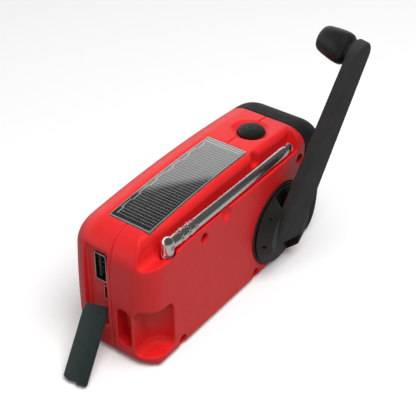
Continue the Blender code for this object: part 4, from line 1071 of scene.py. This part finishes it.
def make_sockets():
    """Folded sheet shells with an open mouth, a dark tongue and four gilt contacts."""
    sockets = (
        ("usb", USB_Y, USB_Z, USB_SIZE, 0.35, 48.0, PORT_FLOOR_X + 0.4),
        ("micro_usb", MICRO_Y, MICRO_Z, MICRO_SIZE, 0.28, 55.0, PORT_FLOOR_X + 0.2),
    )
    for name, y, z, size, wall, back, mouth in sockets:
        rings = []
        for grow, x in ((0.0, back), (0.0, mouth), (-wall, mouth), (-wall, back + 1.0)):
            outline = rounded_rectangle(*port_box(y, z, size, grow), 0.6 + grow)
            rings.append([(x, a, b) for a, b in outline])
        shell = skin(f"{name}_sleeve", rings, STEEL)
        round_edges(shell, 0.08, 2)
        show(shell, "case", "steel", f"{name}_shell")
        lining = rounded_rectangle(*port_box(y, z, size, -wall - 0.02), 0.3)
        lining = prism(f"{name}_lining", lining, "X", back + 1.02, back + 1.4, SOCKET_DARK)
        show(lining, "case", "nylon")
    low, high = box_mm("usb_tongue")
    tongue = block("usb_insulator", low, high, SOCKET_DARK, bevel=0.2)
    contact_pitch = 2.5
    show(tongue, "case", "nylon", "usb_tongue")
    for i in range(4):
        z = USB_Z + (i - 1.5) * contact_pitch
        y = low.y + 1.72
        corners = (50, y, z - 0.5), (high.x - 0.8, y + 0.12, z + 0.5)
        contact = block(f"usb_contact_{i + 1}", *corners, GILT, 0.05)
        show(contact, "case", "steel")


COVER_HINGE, COVER_AXIS = joint_place("cover_swing")
COVER_OPEN = math.radians(JOINTS["cover_swing"]["range_deg"][1])
COVER_LENGTH, COVER_WIDTH = 31.8, 10.8


def cover_outline(inset):
    """The cover lying closed: a strap with one bevelled corner at its free end and a small tab."""
    half = COVER_WIDTH / 2 - inset
    end = COVER_LENGTH - inset
    points = [(0.7 - half, inset), (half - 0.9, inset), (half, 3.5), (half, end - 1.5)]
    points += arc((half - 1.2, end - 1.2), 1.2, 0, 90, 8)
    points += [(1.4, end), (0.6, end - 0.8), (-2.6, end - 0.8)]
    points += arc((1.2 - half, end - 2.8), 1.2, 90, 180, 8)
    points += [(-half, 4.0)]
    return points


def make_cover():
    """The rubber cover, hanging open, with soft edges."""
    swing = Matrix.Rotation(-COVER_OPEN, 4, COVER_AXIS)
    hung = shift(COVER_HINGE) @ swing
    soft = 0.35
    levels = [(-0.5, soft), (-0.4, 0.12), (-0.2, 0.0), (0.8, 0.0), (1.0, 0.12), (1.1, soft)]
    rings = [[(x, y, s) for y, s in cover_outline(inset)] for x, inset in levels]
    cover = skin("cover_strap", rings, RUBBER, smooth_angle=60, place=hung)
    show(cover, "cover", "rubber", "port_cover")


# ---- front controls -----------------------------------------------------------------------
window_low, window_high = box_mm("dial_window")
SPEAKER = sum(box_mm("speaker_grille"), Vector()) / 2
SPEAKER_RADIUS = (box_mm("speaker_grille")[1].x - box_mm("speaker_grille")[0].x) / 2
SWITCH = sum(box_mm("band_switch"), Vector()) / 2
CHARGE_LAMP = sum(box_mm("charge_lamp"), Vector()) / 2


def knob_place(name):
    """Centre (x, z) and radius of a front knob."""
    low, high = box_mm(name)
    return ((low.x + high.x) / 2, (low.z + high.z) / 2), (high.x - low.x) / 2


def make_grille():
    """A dished disc with a pattern of round holes in rings."""
    face = FRONT_Y - 0.1
    at = (SPEAKER.x, 0, SPEAKER.z)
    rim = SPEAKER_RADIUS
    profile = [(rim, face + 0.8), (rim, face + 0.3), (rim - 0.3, face), (rim - 1.4, face)]
    profile += [(rim - 2.0, face + 0.35), (0.5, face + 0.1), (0.5, face + 0.9), (rim - 0.4, face + 0.9)]
    grille = turned("grille_disc", profile, BLACK, "Y", at, 128, closed=True)
    holes = []
    hole_radius, hole_rings = 0.85, ((3.2, 8), (6.0, 14), (8.8, 20), (11.6, 26), (14.4, 32))
    for ring, count in hole_rings:
        for i in range(count):
            turn = 2 * math.pi * i / count
            centre = (SPEAKER.x + ring * math.cos(turn), SPEAKER.z + ring * math.sin(turn))
            holes.append(rod("hole", hole_radius, -30, -10, None, "Y", (centre[0], 0, centre[1]), 12))
    cutter = holes[0]
    merge_meshes(cutter, holes[1:])
    cut(grille, cutter)
    show(grille, "case", "black_shell", "speaker_grille")


def merge_meshes(target, others):
    """Puts separate, non-touching solids in one mesh, so that one boolean uses them all."""
    bm = bmesh.new()
    bm.from_mesh(target.data)
    for other in others:
        bm.from_mesh(other.data)
        mesh = other.data
        bpy.data.objects.remove(other, do_unlink=True)
        bpy.data.meshes.remove(mesh)
    bm.to_mesh(target.data)
    bm.free()


def make_dial():
    """A clear window over a pale plate with two printed scales and numbers."""
    x0, x1, z0, z1 = window_low.x, window_high.x, window_low.z, window_high.z
    rings = []
    for y, inset in ((window_low.y, 0.4), (window_low.y + 0.25, 0.0), (window_high.y, 0.0)):
        outline = rounded_rectangle(z0 + inset, z1 - inset, x0 + inset, x1 - inset, 2.0 - inset)
        rings.append([(x, y, z) for z, x in outline])
    window = skin("dial_glass", rings, CLEAR, smooth_angle=50)
    show(window, "case", "clear", "dial_window")
    low, high = box_mm("dial_plate")
    plate = block("dial_card", low, high, DIAL_WHITE, bevel=0.2)
    show(plate, "case", "nylon", "dial_plate")
    face = low.y
    middle = (low.x + high.x) / 2
    scales = ((7.7, ("88", "92", "96", "100", "104", "108")), (2.1, ("53", "70", "90", "120", "160")))
    scale_length, ticks_a_number, tick_half_width = 35.0, 5, 0.1
    start = middle - scale_length / 2
    for height, words in scales:
        marks = bmesh.new()
        z = low.z + height
        foot = z - 0.6
        count = (len(words) - 1) * ticks_a_number
        for i in range(count + 1):
            x = start + scale_length * i / count
            length = 1.5 if i % ticks_a_number == 0 else 0.8
            left, right = x - tick_half_width, x + tick_half_width
            add_box(marks, (left, face - 0.06, foot), (right, face + 0.02, foot + length))
        marks = finish_mesh(f"dial_marks_{len(words)}", marks, PRINT_BLACK)
        show(marks, "case", "nylon")
        for i, word in enumerate(words):
            x = start + scale_length * i / (len(words) - 1)
            add_number(word, (x, face - 0.05, z + 1.2), 2.2)


def add_box(bm, low, high):
    made = bmesh.ops.create_cube(bm, size=1.0)["verts"]
    for v in made:
        v.co = [low[k] if v.co[k] < 0 else high[k] for k in range(3)]


def add_number(word, at, size):
    """A printed number on the dial, read from the front."""
    curve = bpy.data.curves.new(f"number_{word}", "FONT")
    curve.body = word
    curve.size = size * MM
    curve.align_x = "CENTER"
    curve.extrude = 0.03 * MM
    obj = bpy.data.objects.new(f"number_{word}", curve)
    bpy.context.scene.collection.objects.link(obj)
    obj.location = Vector(at) * MM
    obj.rotation_euler = (math.pi / 2, 0, 0)
    curve.materials.append(PRINT_BLACK)
    show(obj, "case", "nylon")


def make_front_knobs():
    """Fluted knobs with a dished face and a pale pointer line."""
    for name, body in (("tuning_knob", "tuning"), ("volume_knob", "volume")):
        centre, radius = knob_place(name)
        low, high = box_mm(name)
        face, back = low.y, FRONT_Y + 0.8
        flutes, depth = 24, 0.35
        profile = ((1.0, back), (1.0, face + 1.0), (0.93, face + 0.25), (0.86, face), (0.72, face + 0.35))
        rings = []
        for share, y in profile:
            ring = []
            for i in range(flutes * 8):
                turn = 2 * math.pi * i / (flutes * 8)
                cutback = depth * (0.5 - 0.5 * math.cos(flutes * turn)) if share > 0.9 else 0.0
                reach = radius * share - cutback
                ring.append((centre[0] + reach * math.cos(turn), y, centre[1] + reach * math.sin(turn)))
            rings.append(ring)
        knob = skin(f"{body}_dial", rings, BLACK, smooth_angle=50)
        stem = rod("stem", 1.9, back - 0.1, high.y, None, "Y", (centre[0], 0, centre[1]))
        join(knob, stem)
        show(knob, body, "black_shell", name)
        x, z = centre
        corners = (x - 0.25, face - 0.05, z + radius * 0.3), (x + 0.25, face + 0.45, z + radius * 0.7)
        line = block(f"{body}_pointer", *corners, DIAL_WHITE, 0.08)
        show(line, body, "nylon")


def make_slide_switch():
    """The band switch's thumb piece, with three grip ridges."""
    low, high = box_mm("band_switch")
    thumb = block("slide_thumb", low, high, BLACK, bevel=0.25)
    for i in range(3):
        x = SWITCH.x + (i - 1) * 1.0
        ridge = block("ridge", (x - 0.18, low.y - 2, low.z - 1), (x + 0.18, low.y + 0.35, high.z + 1))
        cut(thumb, ridge)
    show(thumb, "band", "black_shell", "band_switch")
    low, high = box_mm("charge_lamp")
    radius = (high.x - low.x) / 2
    profile = [(radius, high.y), (radius, low.y + 0.8)]
    profile += [(a, low.y + 0.8 - 0.8 * b / radius) for a, b in arc((0, 0), radius, 10, 80, 8)]
    lamp = turned("charge_lamp_dome", profile, CHARGE_RED, "Y", (CHARGE_LAMP.x, 0, CHARGE_LAMP.z), 48)
    show(lamp, "case", "led_resin", "charge_lamp")


def make_screws():
    """Pan-head screws with a cross recess at the bottom of their bores."""
    for i, (x, z) in enumerate(SCREW_PLACES):
        low, high = box_mm(f"case_screw_{i + 1}")
        top = high.y
        profile = [(0.9, low.y), (0.9, top - 1.4), (1.8, top - 1.4), (1.9, top - 1.1), (1.9, top - 0.5)]
        profile += [(1.6, top - 0.15), (1.0, top)]
        screw = turned(f"pan_screw_{i + 1}", profile, STEEL, "Y", (x, 0, z), 48)
        for width, height in ((0.25, 1.1), (1.1, 0.25)):
            corner = (x - width, top - 0.7, z - height), (x + width, top + 2, z + height)
            cut(screw, block("cross", *corner))
        show(screw, "case", "steel", f"case_screw_{i + 1}")


for make in (
    make_rear_case,
    make_front_case,
    make_lamp_head,
    make_flashlight,
    make_bezel,
    make_hub,
    make_arm,
    make_knob,
    make_antenna,
    make_solar_panel,
    make_button,
    make_sockets,
    make_cover,
    make_grille,
    make_dial,
    make_front_knobs,
    make_slide_switch,
    make_screws,
):
    make()


# ---- finish for CAD nodes that stay -------------------------------------------------------
SLOT_LOOKS = {
    "red_shell": RED,
    "black_shell": BLACK,
    "rubber": RUBBER,
    "chrome": CHROME,
    "steel": STEEL,
    "clear": CLEAR,
    "led_resin": LED_RESIN,
    "solar": CELL,
    "board": BOARD,
    "copper": COPPER,
    "nylon": NYLON,
    "cell_wrap": WRAP,
    "ferrite": FERRITE,
}


def dress_carried_nodes():
    """Gives every CAD node the procedural material of its slot."""
    for subpart in frame["record"]["subparts"]:
        node = NODES[subpart["node"]]
        node.data.materials.clear()
        node.data.materials.append(SLOT_LOOKS[subpart["material_slot"]])


dress_carried_nodes()


# ---- studio: places and sizes in metres ---------------------------------------------------
FLOOR_SIZE = 6.0
FLOOR_SEEN = (0.90, 0.90, 0.90)  # the floor's colour for the camera
FLOOR_BOUNCE = (0.40, 0.40, 0.40)  # and for the light that it throws back on the object
FLOOR_GLOW = 0.10
SKY_LOW, SKY_TOP = 0.06, 0.6  # strength of the light at the horizon and overhead
MIRROR_LOW, MIRROR_TOP = 1.25, 0.08  # what glossy faces reflect on each side of a great circle
MIRROR_AXIS = (-0.090, -0.728, -0.679)  # square to that circle, towards its bright side
MIRROR_BLUR = 0.006
KEY_PLACE, KEY_SIZE, KEY_POWER = (0.10, 0.35, 1.0), 0.8, 10.5
VIEW_AZIMUTH, VIEW_ELEVATION, VIEW_DISTANCE = 126.38, 36.84, 0.450
VIEW_TARGET = Vector((0.0, 0.0, 0.030))
SENSOR_WIDTH, FOCAL_LENGTH = 36.0, 92.33  # millimetres
VIEW_SHIFT = (0.00796, 0.01856)


def make_world():
    """White for the camera, a soft dome for light, and a bright and a dark half for mirrors."""
    world = bpy.data.worlds.new("studio")
    bpy.context.scene.world = world
    world.use_nodes = True
    tree = world.node_tree
    new, link = tree.nodes.new, tree.links.new

    def map_range(value, start, end, low, high):
        node = new("ShaderNodeMapRange")
        for name, number in (("From Min", start), ("From Max", end), ("To Min", low), ("To Max", high)):
            node.inputs[name].default_value = number
        link(value, node.inputs["Value"])
        return node.outputs["Result"]

    def choose(test, no, yes):
        node = new("ShaderNodeMix")
        link(path.outputs[test], node.inputs["Factor"])
        link(no, node.inputs["A"])
        if isinstance(yes, float):
            node.inputs["B"].default_value = yes
        else:
            link(yes, node.inputs["B"])
        return node.outputs["Result"]

    path = new("ShaderNodeLightPath")
    direction = new("ShaderNodeTexCoord").outputs["Generated"]
    split = new("ShaderNodeSeparateXYZ")
    link(direction, split.inputs["Vector"])
    power = new("ShaderNodeMath")
    power.operation = "POWER"
    power.inputs[1].default_value = 2.0
    power.use_clamp = True
    link(split.outputs["Z"], power.inputs[0])
    facing = new("ShaderNodeVectorMath")
    facing.operation = "DOT_PRODUCT"
    facing.inputs[1].default_value = MIRROR_AXIS
    link(direction, facing.inputs[0])
    dome = map_range(power.outputs["Value"], 0.0, 1.0, SKY_LOW, SKY_TOP)
    mirror = map_range(facing.outputs["Value"], -MIRROR_BLUR, MIRROR_BLUR, MIRROR_TOP, MIRROR_LOW)
    strength = choose("Is Camera Ray", choose("Is Glossy Ray", dome, mirror), 1.0)
    background = tree.nodes["Background"]
    background.inputs["Color"].default_value = (1.0, 1.0, 1.0, 1.0)
    link(strength, background.inputs["Strength"])


def make_floor():
    """A pale matt floor, brighter to the camera than to the object."""
    bpy.ops.mesh.primitive_plane_add(size=FLOOR_SIZE, location=(0, 0, 0))
    floor = bpy.context.object
    floor.name = "studio_floor"
    look = Look("floor_white")
    path = look.tree.nodes.new("ShaderNodeLightPath")
    look.put("Base Color", look.mix(path.outputs["Is Camera Ray"], FLOOR_BOUNCE, FLOOR_SEEN))
    look.put("Emission Color", (1.0, 1.0, 1.0))
    look.put("Emission Strength", look.maths("MULTIPLY", path.outputs["Is Camera Ray"], FLOOR_GLOW))
    look.put("Roughness", look.ramp(look.noise(0.01), 0.75, 0.85))
    look.put("Specular IOR Level", 0.1)
    floor.data.materials.append(look.material)


def aim(obj, place, target):
    """Puts an object somewhere with its -Z axis pointing at a target."""
    obj.location = place
    obj.rotation_mode = "QUATERNION"
    obj.rotation_quaternion = (Vector(target) - Vector(place)).to_track_quat("-Z", "Y")


def make_key_light():
    """A round lamp overhead that leaves no mirror image."""
    data = bpy.data.lights.new("key", "AREA")
    data.energy = KEY_POWER
    data.shape = "DISK"
    data.size = KEY_SIZE
    light = bpy.data.objects.new("key", data)
    light.visible_glossy = False
    bpy.context.scene.collection.objects.link(light)
    aim(light, KEY_PLACE, VIEW_TARGET)


def make_camera():
    """A product view from above the port end, at the rear."""
    azimuth, elevation = math.radians(VIEW_AZIMUTH), math.radians(VIEW_ELEVATION)
    flat = math.cos(elevation)
    back = Vector((math.sin(azimuth) * flat, -math.cos(azimuth) * flat, math.sin(elevation)))
    data = bpy.data.cameras.new("view")
    camera = bpy.data.objects.new("view", data)
    bpy.context.scene.collection.objects.link(camera)
    aim(camera, VIEW_TARGET + back * VIEW_DISTANCE, VIEW_TARGET)
    data.sensor_width = SENSOR_WIDTH
    data.lens = FOCAL_LENGTH
    data.shift_x, data.shift_y = VIEW_SHIFT
    data.clip_start = 0.01
    bpy.context.scene.camera = camera


bpy.context.scene.view_settings.view_transform = "Standard"
make_world()
make_floor()
make_key_light()
make_camera()
